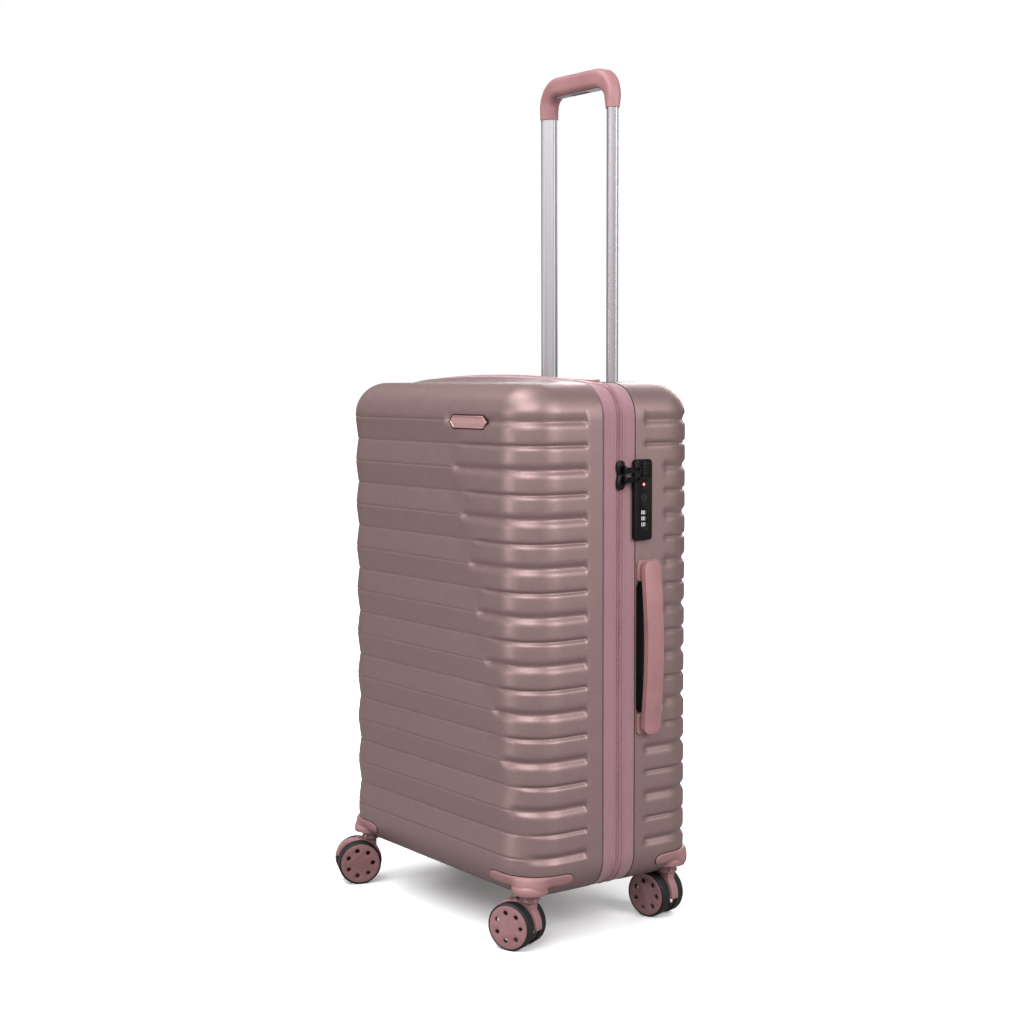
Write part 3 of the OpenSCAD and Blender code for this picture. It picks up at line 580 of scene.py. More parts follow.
def shell_outline(seam, stops, fine_low, fine_high):
    """Outline of a half shell seen from above as (x, y, normal x, normal y), y growing outwards."""
    side = outline_stops(seam, stops)
    x0, y0 = HW - CORNER_R, HD - CORNER_R
    left = [(-HW, y, -1.0, 0.0) for y in side]
    for k in range(1, 14):
        a = math.pi / 2 * k / 14
        nx, ny = -math.cos(a), math.sin(a)
        left.append((-x0 + CORNER_R * nx, y0 + CORNER_R * ny, nx, ny))
    xs = []
    x = -x0
    while x < x0:
        xs.append(x)
        x += 4.0 if fine_low <= x <= fine_high else 9.0
    xs.append(x0)
    return left + [(x, HD, 0.0, 1.0) for x in xs] + [(-x, y, -nx, ny) for x, y, nx, ny in reversed(left)]


def wall_levels():
    """Levels up the wall, closer together at every crease and valley."""
    offsets = (-11, -7.6, -5.4, -3.4, -1.8, -0.8, 0, 0.8, 1.8, 3.4, 5.4, 7.6, 11)
    lines = [RIB_TOP - k * RIB_PITCH for k in range(CREASES)]
    lines += [RIB_TOP - VALLEY_DROP - k * RIB_PITCH for k in range(VALLEYS)]
    levels = {round(line + o, 3) for line in lines for o in offsets}
    low, high = ZB + EDGE_R, ZT - EDGE_R
    levels |= {low, high, 103.0}
    kept = sorted(z for z in levels if low <= z <= high)
    out = [kept[0]]
    for z in kept[1:]:
        if z - out[-1] > 0.3:
            out.append(z)
    return out


def rib_depth(z, wide, soft):
    """Depth of the wall at level z: broad facets where soft is 0, separate grooves where wide is 1."""
    turn = (RIB_TOP - z) / RIB_PITCH
    inside = (z <= RIB_TOP) & (z >= RIB_TOP - (CREASES - 1) * RIB_PITCH)
    k = np.clip(np.round(turn), 0, CREASES - 1)
    from_crease = np.abs(z - (RIB_TOP - k * RIB_PITCH))
    j = np.clip(np.round(turn - VALLEY_DROP / RIB_PITCH), 0, VALLEYS - 1)
    from_valley = np.abs(z - (RIB_TOP - VALLEY_DROP - j * RIB_PITCH))
    facet = np.where(inside, 3.3 * (from_crease / (from_crease + from_valley)) ** 1.15, 0.0)
    slot = 0.75 * np.clip(1 - from_valley / 1.8, 0, 1)
    facet = facet + slot + 0.9 * np.clip(1 - from_crease / 1.6, 0, 1)
    groove = 3.4 * np.clip((6.8 - from_crease) / 5.6, 0, 1)
    valley = 2.3 * smooth((4.2 - from_valley) / 3.6) + 0.6 * slot
    crown = np.where(inside, 0.3 * (1 - np.minimum(from_crease, from_valley) / 14.0), 0.0)
    ribs = np.maximum(wide * groove, soft * valley) + soft * crown
    return np.minimum(np.maximum((1 - soft) * facet, ribs), RIB_LIMIT)


def front_width(x, y, z):
    """Where the front shell's creases open into grooves: a slanting line across the front face."""
    start = SLANT_START + SLANT_STEP * (RIB_TOP - z) / RIB_PITCH
    return np.clip((x - start) / 9.0, 0, 1), smooth((x - start + 22.0) / 60.0)


def front_reach(x, y, z):
    """Ribs stop short of the seam; y is measured outwards."""
    return np.clip((y - FRONT_RIB_END) / 3.0, 0, 1)


def back_width(x, y, z):
    """The back shell's creases open into grooves towards both side walls."""
    return np.clip((np.abs(x) - 100.0) / 9.0, 0, 1), smooth((np.abs(x) - 84.0) / 44.0)


def back_reach(x, y, z):
    """Ribs stop short of the seam, and further from it behind the side handle."""
    start = np.where((x > HW - 40) & (z > SHORT_LOW) & (z < SHORT_HIGH), SHORT_RIB_END, BACK_RIB_END)
    return np.clip((y - start) / 3.0, 0, 1)


def half_shell(name, seam, stops, sign, width, reach, fine):
    """One half shell with outer ribs, a plain inside and a rim; sign is -1 for the front half."""
    outline = shell_outline(seam, stops, *fine)
    curve = [(EDGE_R * math.sin(a), EDGE_R - EDGE_R * math.cos(a))
             for a in np.radians(np.linspace(-90, 0, 12)[:-1])]
    rows = [(ZB + EDGE_R + rise, inset) for rise, inset in curve] + [(z, 0.0) for z in wall_levels()]
    rows += [(ZT - EDGE_R - rise, inset) for rise, inset in reversed(curve)]
    o = np.array(outline)
    z = np.array([r[0] for r in rows])[:, None]
    inset = np.array([r[1] for r in rows])[:, None]
    x, y, nx, ny = (o[:, k][None, :] for k in range(4))
    depth = rib_depth(z + 0 * x, *width(x, y, z)) * reach(x, y, z)
    depth = np.where(inset > 1e-6, 0.0, depth)
    px = x - nx * (inset + depth)
    py = (y - ny * (inset + depth)) * sign
    pz = z + 0 * x
    outer = np.stack([px, py, pz], -1)
    wall = np.where(y < seam + 14, 3.0, 4.55)
    lean = np.clip(1 - inset / EDGE_R, 0, 1)
    up = np.where(z > (ZT + ZB) / 2, -1.0, 1.0) * np.sqrt(np.clip(1 - lean ** 2, 0, 1))
    inner = np.stack([x - nx * (inset + wall * lean), (y - ny * (inset + wall * lean)) * sign,
                      z + up * wall + 0 * x], -1)
    count_r, count_c = px.shape
    verts = [tuple(p) for p in outer.reshape(-1, 3)] + [tuple(p) for p in inner.reshape(-1, 3)]
    shift = count_r * count_c
    faces = double_grid(count_r, count_c)
    top = [(count_r - 1) * count_c + c for c in range(count_c)]
    bottom = list(range(count_c))
    faces += [tuple(top), tuple(reversed(bottom))]
    faces += [tuple(v + shift for v in reversed(top)), tuple(v + shift for v in bottom)]
    left = [r * count_c for r in range(count_r)]
    right = [r * count_c + count_c - 1 for r in range(count_r)]
    faces += rim_faces(left + right[::-1], shift)
    return solid(name, verts, faces, 50)


def crown_height(x, y):
    """Gentle rise of the case top in mm, with flat seats for the carry handle and the pull handle."""
    across = np.clip(1 - ((x + 38.0) / 198.0) ** 2, 0, 1)
    along = np.clip(1 - ((y - 4.0) / np.where(y < 4.0, 50.0, 34.0)) ** 2, 0, 1)
    seat = smooth((124.0 - np.abs(x)) / 10.0) * smooth((y - 27.5) / 6.0)
    return CROWN * across * along * (1 - seat)


def crown_top(obj):
    """Lifts the top of a piece by the crown, fading out down the walls."""
    co = np.empty(len(obj.data.vertices) * 3)
    obj.data.vertices.foreach_get("co", co)
    co = co.reshape(-1, 3)
    x, y, z = (co[:, 0] - CX) / MM, (co[:, 1] - CY) / MM, co[:, 2] / MM
    co[:, 2] += crown_height(x, y) * smooth((z - (ZT - 60)) / 50.0) * MM
    obj.data.vertices.foreach_set("co", co.ravel())
    obj.data.update()


def split_caps(obj):
    """Cuts the flat top faces of a shell into a grid, so that they can be crowned."""
    step = 11.0
    bm = bmesh.new()
    bm.from_mesh(obj.data)
    for reach, normal in ((HW, (1, 0, 0)), (HD, (0, 1, 0))):
        for k in range(int(-reach / step), int(reach / step) + 1):
            faces = [f for f in bm.faces
                     if abs(f.normal.z) > 0.999 and min(v.co.z for v in f.verts) > (ZT - 8) * MM]
            geom = faces + list({v for f in faces for v in f.verts} | {e for f in faces for e in f.edges})
            where = pt(k * step, k * step, 0)
            bmesh.ops.bisect_plane(bm, geom=geom, plane_co=where, plane_no=normal, dist=1e-6)
    bm.to_mesh(obj.data)
    bm.free()


# Swivel axis of each wheel base, as (x, y) in case coordinates.
SWIVELS = {}
for caster in CASTERS:
    swivel = joint_place(caster + "_swivel")
    SWIVELS[caster] = ((swivel[0] - CX) / MM, (swivel[1] - CY) / MM)


def handle_frame(side):
    """Turns handle coordinates (along, across, out) in mm into case coordinates."""
    x, y, z = middle_of(side + "_handle_grip")
    if side == "side":
        return lambda a, b, c: (HW + c, y + b, z - a)
    return lambda a, b, c: (a, y + b, ZT + c)


def pocket_rings(side, profile):
    """Rounded rings round a finger pocket, from (level, growth, corner radius)."""
    to_case = handle_frame(side)
    return [[to_case(a, b + POCKET_SHIFT, level)
             for a, b in rounded_points(POCKET_L + 2 * grow, POCKET_W + 2 * grow, radius)]
            for level, grow, radius in profile]


def pocket_cutter(side):
    """Finger pocket behind a carry handle, with a rolled lip and rounded bottom."""
    profile = ((1.5, 2.6, 10.6), (0.0, 1.2, 9.2), (-0.6, 0.5, 8.5), (-1.8, 0.0, 8.0),
               (-8.5, -0.3, 7.7), (-10.2, -1.2, 6.8), (-11.2, -3.4, 4.6), (-11.5, -6.5, 1.5))
    return solid("cutter", *loft(pocket_rings(side, profile)))


def pocket_tray(side):
    """Thin moulded tray round the pocket, seen from inside the case and through the opening."""
    outer = ((-13.4, -6.0, 7.0), (-12.8, -1.0, 7.5), (-11.0, 1.2, 8.6), (-8.5, 1.7, 8.85), (-2.0, 1.9, 8.95))
    inner = ((-2.0, 0.1, 8.0), (-8.5, -0.2, 7.9), (-10.2, -1.1, 7.45), (-11.2, -3.3, 6.35),
             (-11.5, -6.5, 4.75))
    tray = solid(side + "_finger_pocket", *loft(pocket_rings(side, outer + inner)), 50)
    place(tray, M_DARK, "back_half", "inner_plastic")


def back_openings():
    """Cutters for everything let into the back shell."""
    lock_low, lock_high = case_box("lock_case")
    y = middle_of("handle_bezel")[1]
    out = [slab(HW - 12, HW + 10, LOCK_Y0, LOCK_Y1, lock_low[2] + LOCK_INSET, lock_high[2] - LOCK_INSET),
           slab(-BEZEL_X, BEZEL_X, y - BEZEL_Y, y + BEZEL_Y, 600, 700)]
    for side in ("side", "top"):
        to_case = handle_frame(side)
        out.append(pocket_cutter(side))
        for s in (-1, 1):
            ends = zip(to_case(s * LEG_REACH - CUP_L, -CUP_W, -25), to_case(s * LEG_REACH + CUP_L, CUP_W, 5))
            out.append(slab(*(level for pair in ends for level in sorted(pair))))
    return out


def finish_half(obj, half, *openings):
    """Cuts the openings and the boss holes of a half shell, and crowns its top."""
    for c in CASTERS:
        if c[0] == half[0]:
            cut(obj, prism("cutter", circle(*SWIVELS[c], BOSS_HOLE_R, 96), 40, BOSS_TOP + 0.5))
    cut(obj, *openings)
    split_caps(obj)
    crown_top(obj)
    place(finish_mesh(obj, 50), M_SHELL, half + "_half", "shell", half + "_shell")


def make_front_shell():
    """Front half with its slanting ribs."""
    finish_half(half_shell("front_shell_skin", -SEAM_FRONT, (FRONT_RIB_END,), -1, front_width, front_reach,
                           (10, 154)), "front")


def make_back_shell():
    """Back half with the openings for handles, lock and pull handle."""
    finish_half(half_shell("back_shell_skin", SEAM_BACK, (BACK_RIB_END, SHORT_RIB_END), 1, back_width,
                           back_reach, (80, 130)), "back", *back_openings())


# ---- zip band

def hoop_path(step=6.0):
    """Points round the case seen from the front: x, z and outward normal, clockwise from the top left."""
    x0, z0, z1 = HW - EDGE_R, ZB + EDGE_R, ZT - EDGE_R
    corners = ((x0, z1, 90), (x0, z0, 0), (-x0, z0, -90), (-x0, z1, 180))
    starts = ((-x0, ZT, 1, 0), (HW, z1, 0, -1), (x0, ZB, -1, 0), (-HW, z0, 0, 1))
    lengths = (2 * x0, z1 - z0, 2 * x0, z1 - z0)
    out = []
    for (cx, cz, a0), (sx, sz, dx, dz), length in zip(corners, starts, lengths):
        count = int(length / step)
        for k in range(count):
            t = length * k / count
            out.append((sx + dx * t, sz + dz * t, -dz, dx))
        for k in range(18):
            a = math.radians(a0 - 5 * k)
            out.append((cx + EDGE_R * math.cos(a), cz + EDGE_R * math.sin(a), math.cos(a), math.sin(a)))
    return out


def sweep_band(name, profile):
    """A closed, slightly puckered cloth hoop; the profile is a loop of (y, depth, how far it puckers)."""
    rings = []
    for k, (x, z, nx, nz) in enumerate(hoop_path()):
        wave = 0.12 * (math.sin(k * 0.9) + 0.6 * math.sin(k * 2.3 + 1))
        rings.append([(x - nx * (d + wave * soft), y, z - nz * (d + wave * soft)) for y, d, soft in profile])
    return solid(name, *loft(rings, hoop=True), 40)


def along_hoop(step, whole=True):
    """Evenly spaced places round the case: x, z, normal x, normal z; not whole leaves out the hinge side."""
    path = hoop_path(4.0)
    path.append(path[0])
    out = []
    left = 0.0
    for a, b in zip(path, path[1:]):
        d = math.hypot(b[0] - a[0], b[1] - a[1])
        t = left
        while t < d:
            f = t / d
            p = [u + (v - u) * f for u, v in zip(a, b)]
            n = math.hypot(p[2], p[3])
            p = (p[0], p[1], p[2] / n, p[3] / n)
            if whole or p[0] > -HW + EDGE_R + 12:
                out.append(p)
            t += step
        left = t - d
    return out


def blocks(name, places, y0, y1, half, low, high, taper=0.75):
    """Small rounded blocks on the band: from y0 to y1, half a length along the seam, low to high deep."""
    verts, faces = [], []
    for x, z, nx, nz in places:
        faces += brick_faces(len(verts))
        for depth, k, narrow in ((low, 1.0, 1.0), (high, taper, 0.85)):
            for sy, st in ((-1, -1), (1, -1), (1, 1), (-1, 1)):
                y = (y0 + y1) / 2 + sy * (y1 - y0) / 2 * narrow
                u = st * half * k
                verts.append((x - nx * depth - nz * u, y, z - nz * depth + nx * u))
    return solid(name, verts, faces, 60)


# Section of the cloth band as (y, depth, how far it puckers), on the front half.
FLAP = [(-22.9, 2.9, 0), (-21.5, 2.6, 0), (-21.1, 1.0, 0), (-20.7, 0.7, 1), (-19.3, 1.0, 1),
        (-18.4, 0.7, 1), (-15.2, 0.65, 1), (-14.3, 0.95, 1), (-13.4, 0.65, 1), (-10.4, 0.65, 1),
        (-9.6, 1.0, 1), (-8.8, 0.65, 1), (-5.8, 0.75, 1), (-5.0, 1.05, 1), (-4.5, 0.3, 1),
        (-3.8, 0.0, 0), (-2.8, 0.0, 0), (-2.1, 0.35, 0), (-1.8, 1.3, 0), (-0.5, 1.5, 0),
        (2.7, 1.6, 0), (2.7, 2.4, 0), (-10, 2.6, 0), (-22.8, 3.0, 0)]


def make_band(front):
    """One half of the cloth band: flap with a corded edge, stitches and its row of zip teeth."""
    name = "front" if front else "back"
    body = name + "_half"
    flip = 1 if front else -1
    spread = 1.0 if front else 24.5 / 25.5
    widen = 1.2 if front else -0.9
    profile = [(ZIP_Y + flip * (y - ZIP_Y) * (1 if y > -5.5 else spread), d, s) for y, d, s in FLAP]
    for k in (1, 2, 3):
        y, depth, soft = profile[k]
        profile[k] = (y + flip * widen, depth, soft)
    band = sweep_band(name + "_band_cloth", profile)
    crown_top(band)
    place(band, M_BAND, body, "band_cloth", name + "_gusset")
    tooth = ZIP_Y - 3.2 if front else ZIP_Y + 0.25
    places = along_hoop(2.0, whole=False)[0 if front else 1:]
    teeth = blocks(name + "_zip_teeth", places, tooth, tooth + 2.95, 0.62, 1.75, 0.35)
    crown_top(teeth)
    place(teeth, M_COIL, body, "band_cloth")
    rows = (-7.6, -18.9) if front else (12.6, 25.2)
    seams = [blocks("row", along_hoop(4.6), y - 0.4, y + 0.4, 1.55, 1.3, 0.55, 0.7) for y in rows]
    stitches = join(name + "_band_stitches", seams)
    crown_top(stitches)
    place(stitches, M_THREAD, body, "band_cloth")


def make_hinge():
    """Cloth hinge inside the band, between the halves."""
    (_, _, z0), (_, _, z1) = case_box("hinge_tape")
    ys = np.linspace(-19, 24, 30)
    zs = np.linspace(z0, z1, 41)
    verts = [(x + 0.15 * math.sin(k * 1.3), y, z)
             for x in (3.0 - HW, 4.2 - HW) for k, z in enumerate(zs) for y in ys]
    rows, n = len(zs), len(ys)
    rim = list(range(n)) + [k * n + n - 1 for k in range(1, rows)]
    rim += [(rows - 1) * n + j for j in range(n - 2, -1, -1)] + [k * n for k in range(rows - 2, 0, -1)]
    obj = solid("hinge_cloth", verts, double_grid(rows, n) + rim_faces(rim, rows * n), 60)
    paint(obj, M_ZIP)
    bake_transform(obj)
    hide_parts("hinge_tape")


# ---- lining, divider and straps

def soft_copy(node, name):
    """Cloth form of a thin CAD solid: cut into a fine grid, softened and slightly rumpled."""
    cell = 9.0
    bm = cad_copy(node)
    low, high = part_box(node)
    for axis in range(3):
        normal = [0, 0, 0]
        normal[axis] = 1
        count = int((high[axis] - low[axis]) / (cell * MM))
        for k in range(1, count):
            where = [0, 0, 0]
            where[axis] = low[axis] + (high[axis] - low[axis]) * k / count
            geom = bm.verts[:] + bm.edges[:] + bm.faces[:]
            bmesh.ops.bisect_plane(bm, geom=geom, plane_co=where, plane_no=normal, dist=1e-6)
    bmesh.ops.triangulate(bm, faces=[f for f in bm.faces if len(f.verts) > 4])
    centre = (low + high) / 2
    for v in bm.verts:
        p = v.co / MM
        push = (math.sin(p.x * 0.031 + p.z * 0.017) * math.sin(p.z * 0.045 + p.y * 0.05)
                + 0.4 * math.sin(p.x * 0.11 + 2) * math.sin(p.z * 0.13 + p.y * 0.1))
        v.co += (centre - v.co).normalized() * (0.5 + 0.35 * push) * MM
    return finish_mesh(bmesh_object(name, bm), 50)


def make_linings():
    """Cloth lining inside both halves."""
    for half in ("front", "back"):
        node = half + "_lining"
        obj = soft_copy(node, half + "_lining_cloth")
        place(obj, M_LINING, half + "_half", "lining", node)


def make_divider():
    """Mesh divider in a bound frame."""
    low, high = case_box("divider_panel")
    _, y, cz = middle_of("divider_panel")
    w, h = high[0] - low[0], high[2] - low[2]
    ring = rounded_points(w - 22, h - 22, 26, 10)
    n, count = len(ring), 14
    verts, faces = [], []
    for k in range(count):
        f = 1 - k / count
        sag = 0.0 if k == 0 else 2.2 * (1 - f * f)
        verts += [(px * f, y - sag + 0.3 * math.sin(px * f * 0.05) * (1 - f), cz + pz * f) for px, pz in ring]
    for r in range(0, (count - 1) * n, n):
        faces += [(r + k, r + (k + 1) % n, r + n + (k + 1) % n, r + n + k) for k in range(n)]
    tip = len(verts)
    verts.append((0, y - 2.2, cz))
    faces += [(tip - n + k, tip - n + (k + 1) % n, tip) for k in range(n)]
    sheet = mesh_object("divider_mesh", verts, faces, 60)
    m = sheet.modifiers.new("thick", "SOLIDIFY")
    m.thickness = 0.6 * MM
    m.offset = 0
    apply_modifiers(sheet)
    place(finish_mesh(sheet, 60), M_MESH, "front_half", "mesh_panel", "divider_panel")
    section = [(-12, -0.7), (-11, -1.3), (0, -1.4), (1.5, -0.9), (2.0, 0), (1.5, 0.9), (0, 1.4),
               (-11, 1.3), (-12, 0.7)]
    outer = rounded_points(w - 6, h - 6, 32, 10)
    rings = [[(px + nx * a, y + b, cz + pz + nz * a) for a, b in section]
             for (px, pz), (nx, nz) in zip(outer, outline_normals(outer))]
    binding = solid("divider_binding", *loft(rings, hoop=True), 50)
    place(binding, M_STRAP, "front_half", "mesh_panel")


def outline_normals(points):
    """Outward direction at every point of a counter-clockwise outline."""
    out = []
    n = len(points)
    for k in range(n):
        (ax, ay), (bx, by) = points[k - 1], points[(k + 1) % n]
        dx, dy = bx - ax, by - ay
        d = math.hypot(dx, dy)
        out.append((dy / d, -dx / d))
    return out


def make_straps():
    """Two crossed elastic straps with rolled edges, and the clip where they meet."""
    low, high = case_box("packing_straps")
    cz = (low[2] + high[2]) / 2
    y = 35.0
    count = 90
    section = [(-12.5, 0), (-12, 0.55), (-10, 0.75), (0, 0.55), (10, 0.75), (12, 0.55), (12.5, 0),
               (12, -0.55), (10, -0.75), (0, -0.55), (-10, -0.75), (-12, -0.55)]
    parts = []
    for s in (-1, 1):
        dx, dz = math.cos(math.radians(56)), s * math.sin(math.radians(56))
        reach = min((high[0] - low[0]) / 2 / dx, (high[2] - low[2]) / 2 / abs(dz)) - 9.0
        rings = []
        for k in range(count + 1):
            t = -reach + 2 * reach * k / count
            lift = s * 0.72 * math.exp(-(t / 26) ** 2)
            thick = 0.9 * (1 + 0.06 * (k % 2))
            rings.append([(t * dx - u * dz, y + v * thick + lift, cz + t * dz + u * dx) for u, v in section])
        parts.append(solid("strap", *loft(rings), 40))
    straps = finish_mesh(join("crossed_straps", parts), 40)
    place(straps, M_STRAP, "back_half", "strap", "packing_straps")
    outline = rounded_points(56, 36, 8, 6)
    rings = [[(a, level, cz + b) for a, b in outline] for level in (y - 3.4, y - 1.9)]
    clip = solid("strap_clip", *loft(rings))
    place(bevelled(clip, 0.5), M_DARK, "back_half", "strap")


# ---- hardware

KEEP = {
    "outer_tubes": M_TUBE, "inner_tubes": M_TUBE, "tube_foot": M_DARK,
    "front_swivel_pins": M_STEEL, "back_swivel_pins": M_STEEL,
    "front_screws": M_SILVER, "back_screws": M_SILVER, "lock_key_barrel": M_KEY,
}


def keep_nodes():
    """CAD nodes whose shape is right get their finish."""
    for name, material in KEEP.items():
        paint_node(name, material)
    for c in CASTERS:
        paint_node(c + "_axle", M_STEEL)
        for s in ("a", "b"):
            paint_node(c + "_tyre_" + s, M_TYRE)


def paint_node(name, material):
    """Gives a shown CAD node its material."""
    node = frame["nodes"][name]
    for slot in node.material_slots:
        slot.material = material
    if not node.material_slots:
        node.data.materials.append(material)


def make_hardware():
    """Moulded parts with softened edges."""
    move_heights(refined("handle_bezel", "back_half", "bezel", 1.2, M_BEZEL), flat_top)
    move_heights(refined("handle_mounts", "back_half", "mount_cup", 0.7, M_GUARD), flat_top)
    bow_out(refined("side_handle_grip", "side_handle", "carry_grip", 2.2, M_GRIP), 3.0)
    move_heights(refined("top_handle_grip", "top_handle", "carry_grip", 2.2, M_GRIP),
                 lambda z: ZT + (z - ZT) * 0.35)
    move_heights(refined("grip_insert", "trolley", "grip_insert", 0.3, M_SILVER), lambda z: z - GRIP_DROP)
    move_heights(refined("grip_button", "trolley_button", "button", 0.3, M_BUTTON),
                 lambda z: z - BUTTON_DROP)
    refined("lock_case", "back_half", "lock_black", 0.7, M_BLACK)
    refined("lock_release", "release_button", "lock_black", 0.35, M_BLACK)
    for k in (1, 2, 3):
        refined("lock_dial_%d" % k, "dial_%d" % k, "dial", 0.25, M_DIAL)
    for end in ("upper", "lower"):
        refined("zip_slider_" + end, "slider_" + end, "zip_metal", 0.35, M_BLACK_METAL)
        refined("zip_pull_" + end, "pull_" + end, "zip_metal", 0.35, M_BLACK_METAL)
    for c in CASTERS:
        shape_fork(refined(c + "_fork", c + "_swivel", "fork", 0.6, M_GUARD), *SWIVELS[c])
        for s in ("a", "b"):
            refined(c + "_hub_" + s, c + "_wheel_" + s, "wheel_centre", 0.45, M_HUB)


def shape_fork(obj, x, y):
    """Slims the neck below the boss and keeps the arm just under the case bottom."""
    for v in obj.data.vertices:
        dx, dy = v.co.x - pt(x, y, 0)[0], v.co.y - pt(x, y, 0)[1]
        r = math.hypot(dx, dy) / MM
        z = v.co.z / MM
        if r > NECK_R and ARM_TOP < z < NECK_TOP:
            v.co.x -= dx * (1 - NECK_R / r)
            v.co.y -= dy * (1 - NECK_R / r)
        if r > BOSS_R - 2.0 and z < ARM_TOP:
            v.co.z = min(z, ZB - 0.7) * MM


def flat_top(z):
    """A height in mm, with what is above the case top brought down to a third."""
    return min(z, ZT + 0.3 * max(0, z - ZT))


def move_heights(obj, rule):
    """Moves the points of a piece up or down; the rule turns an old height in mm into a new one."""
    for v in obj.data.vertices:
        v.co.z = rule(v.co.z / MM) * MM


def bow_out(obj, amount):
    """Bends an upright strap outwards by an extra amount (mm) in the middle."""
    zs = [v.co.z for v in obj.data.vertices]
    middle, half = (max(zs) + min(zs)) / 2, (max(zs) - min(zs)) / 2
    reach = 0.78 * half
    for v in obj.data.vertices:
        t = min(1.0, abs(v.co.z - middle) / reach)
        v.co.x += amount * MM * (1 - t * t)


def hexagon(a, b):
    """Outline of the badge: pointed at both ends, a half long and b half high."""
    return [(-a, 0), (b - a, b), (a - b, b), (a, 0), (a - b, -b), (b - a, -b)]


def hex_rings(name, rings, material, *nodes):
    """Hexagonal piece on the front face, from rings of (half length, half height, outward)."""
    x, _, z = middle_of("badge_plate")
    shape = loft([[(x + u, -HD - out, z + v) for u, v in hexagon(a, b)] for a, b, out in rings])
    place(solid(name, *shape, 30), material, "front_half", "badge", *nodes)


def make_badge():
    """Blank metal plate with a bright raised rim in a frame whose dark colour is painted shade of the recess
    round the plate.
    """
    hex_rings("badge_frame", ((40.6, 9.0, -1.4), (40.6, 9.0, 0.05), (40.2, 8.7, 0.2), (38.7, 7.6, 0.2),
                              (38.5, 7.5, -0.9)), M_FRAME_PAINTED_SHADE)
    hex_rings("badge_metal_plate", ((38.4, 7.4, -1.4), (38.4, 7.4, 0.35), (38.0, 7.1, 0.58), (36.4, 6.2, 0.6),
                                    (35.9, 5.9, 0.2), (35.2, 5.5, 0.15)), M_BADGE, "badge_plate")


# ---- pull handle grip

def grip_path():
    """Middle line of the pull grip: x, z, outward x, outward z, and how far it has left the tubes."""
    low, high = case_box("trolley_grip")
    tube_low, tube_high = case_box("inner_tubes")
    half_gap = (tube_high[0] - tube_low[0]) / 2 - TUBE_REACH
    top = high[2] - GRIP_BAR / 2
    bottom = low[2]
    bend = GRIP_BEND
    right = []
    for k in range(8):
        t = k / 8
        right.append((half_gap, bottom + (top - bend - bottom) * t, 1.0, 0.0, 0.4 * t))
    for k in range(13):
        a = math.pi / 2 * k / 12
        right.append((half_gap - bend + bend * math.cos(a), top - bend + bend * math.sin(a),
                      math.cos(a), math.sin(a), 0.4 + 0.6 * smooth(k / 10)))
    left = [(-x, z, -nx, nz, t) for x, z, nx, nz, t in right]
    return left + list(reversed(right))


def make_pull_grip():
    """Grip swept round a U: it leaves the two tubes in their own section and turns into the bar."""
    low, high = case_box("trolley_grip")
    y0 = (low[1] + high[1]) / 2
    depth = high[1] - low[1] + 4
    turn = math.radians(-TUBE_TWIST)
    tube = [(u * math.cos(turn) - v * math.sin(turn), u * math.sin(turn) + v * math.cos(turn))
            for u, v in rounded_points(TUBE_W + SLEEVE, TUBE_D + SLEEVE, 6.2)]
    bar = rounded_points(GRIP_BAR, depth, 7.5)
    rings = []
    for x, z, nx, nz, t in grip_path():
        ring = []
        for (ua, va), (ub, vb) in zip(tube, bar):
            u, v = ua + (ub - ua) * t, va + (vb - va) * t
            ring.append((x + nx * u, y0 + v, z + nz * u))
        rings.append(ring)
    obj = bevelled(solid("pull_grip_body", *loft(rings), 40), 0.5, 2, 50)
    low, high = case_box("grip_insert")
    cut(obj, slab(-46, 46, low[1] - 0.2, high[1] + 0.2, low[2] - 20, high[2] - GRIP_DROP + 0.2))
    place(finish_mesh(obj, 40), M_GRIP, "trolley", "pull_grip", "trolley_grip")


# ---- corner guards

def corner_point(sx, sy, s, z, out):
    """Point on the bottom corner; s runs round it from the front or back face to the side wall."""
    quarter = CORNER_R * math.pi / 4
    if abs(s) <= quarter:
        a = math.pi / 4 - s / CORNER_R
        nx, ny = math.cos(a), math.sin(a)
        x, y = HW - CORNER_R + CORNER_R * nx, HD - CORNER_R + CORNER_R * ny
    elif s > 0:
        x, y, nx, ny = HW, HD - CORNER_R - (s - quarter), 1.0, 0.0
    else:
        x, y, nx, ny = HW - CORNER_R - (-s - quarter), HD, 0.0, 1.0
    drop = min(1.0, max(0.0, (ZB + EDGE_R - z) / EDGE_R))
    lean = math.sqrt(1 - drop * drop)
    inset = EDGE_R * (1 - lean)
    return (sx * (x - nx * inset + nx * lean * out), sy * (y - ny * inset + ny * lean * out), z - drop * out)


def guard_strip(name, sx, sy, grow, out):
    """Moulded strip round the corner with rounded ears, out mm proud of the shell."""
    across = np.linspace(-1, 1, 9)
    rings = []
    for s in np.linspace(-65.5 - grow, 59 + grow, 72):
        t = abs((s + 3.25) / (62.25 + grow))
        half = (6.4 + 1.5 * t * t + grow) * max(0.03, 1 - t ** 12) ** 0.5
        middle = 83.9 - 1.2 * t * t
        swell = smooth(1.25 - abs(s) / 24.0) if grow < 0.1 else 0.0
        upper = [corner_point(sx, sy, s, middle + half * v,
                              out * (1 - 0.55 * v ** 8) + swell * (6.7 - 4.6 * v)) for v in across]
        lower = [corner_point(sx, sy, s, middle + half * v, -0.8) for v in reversed(across)]
        rings.append(upper + lower)
    return solid(name, *loft(rings), 40)


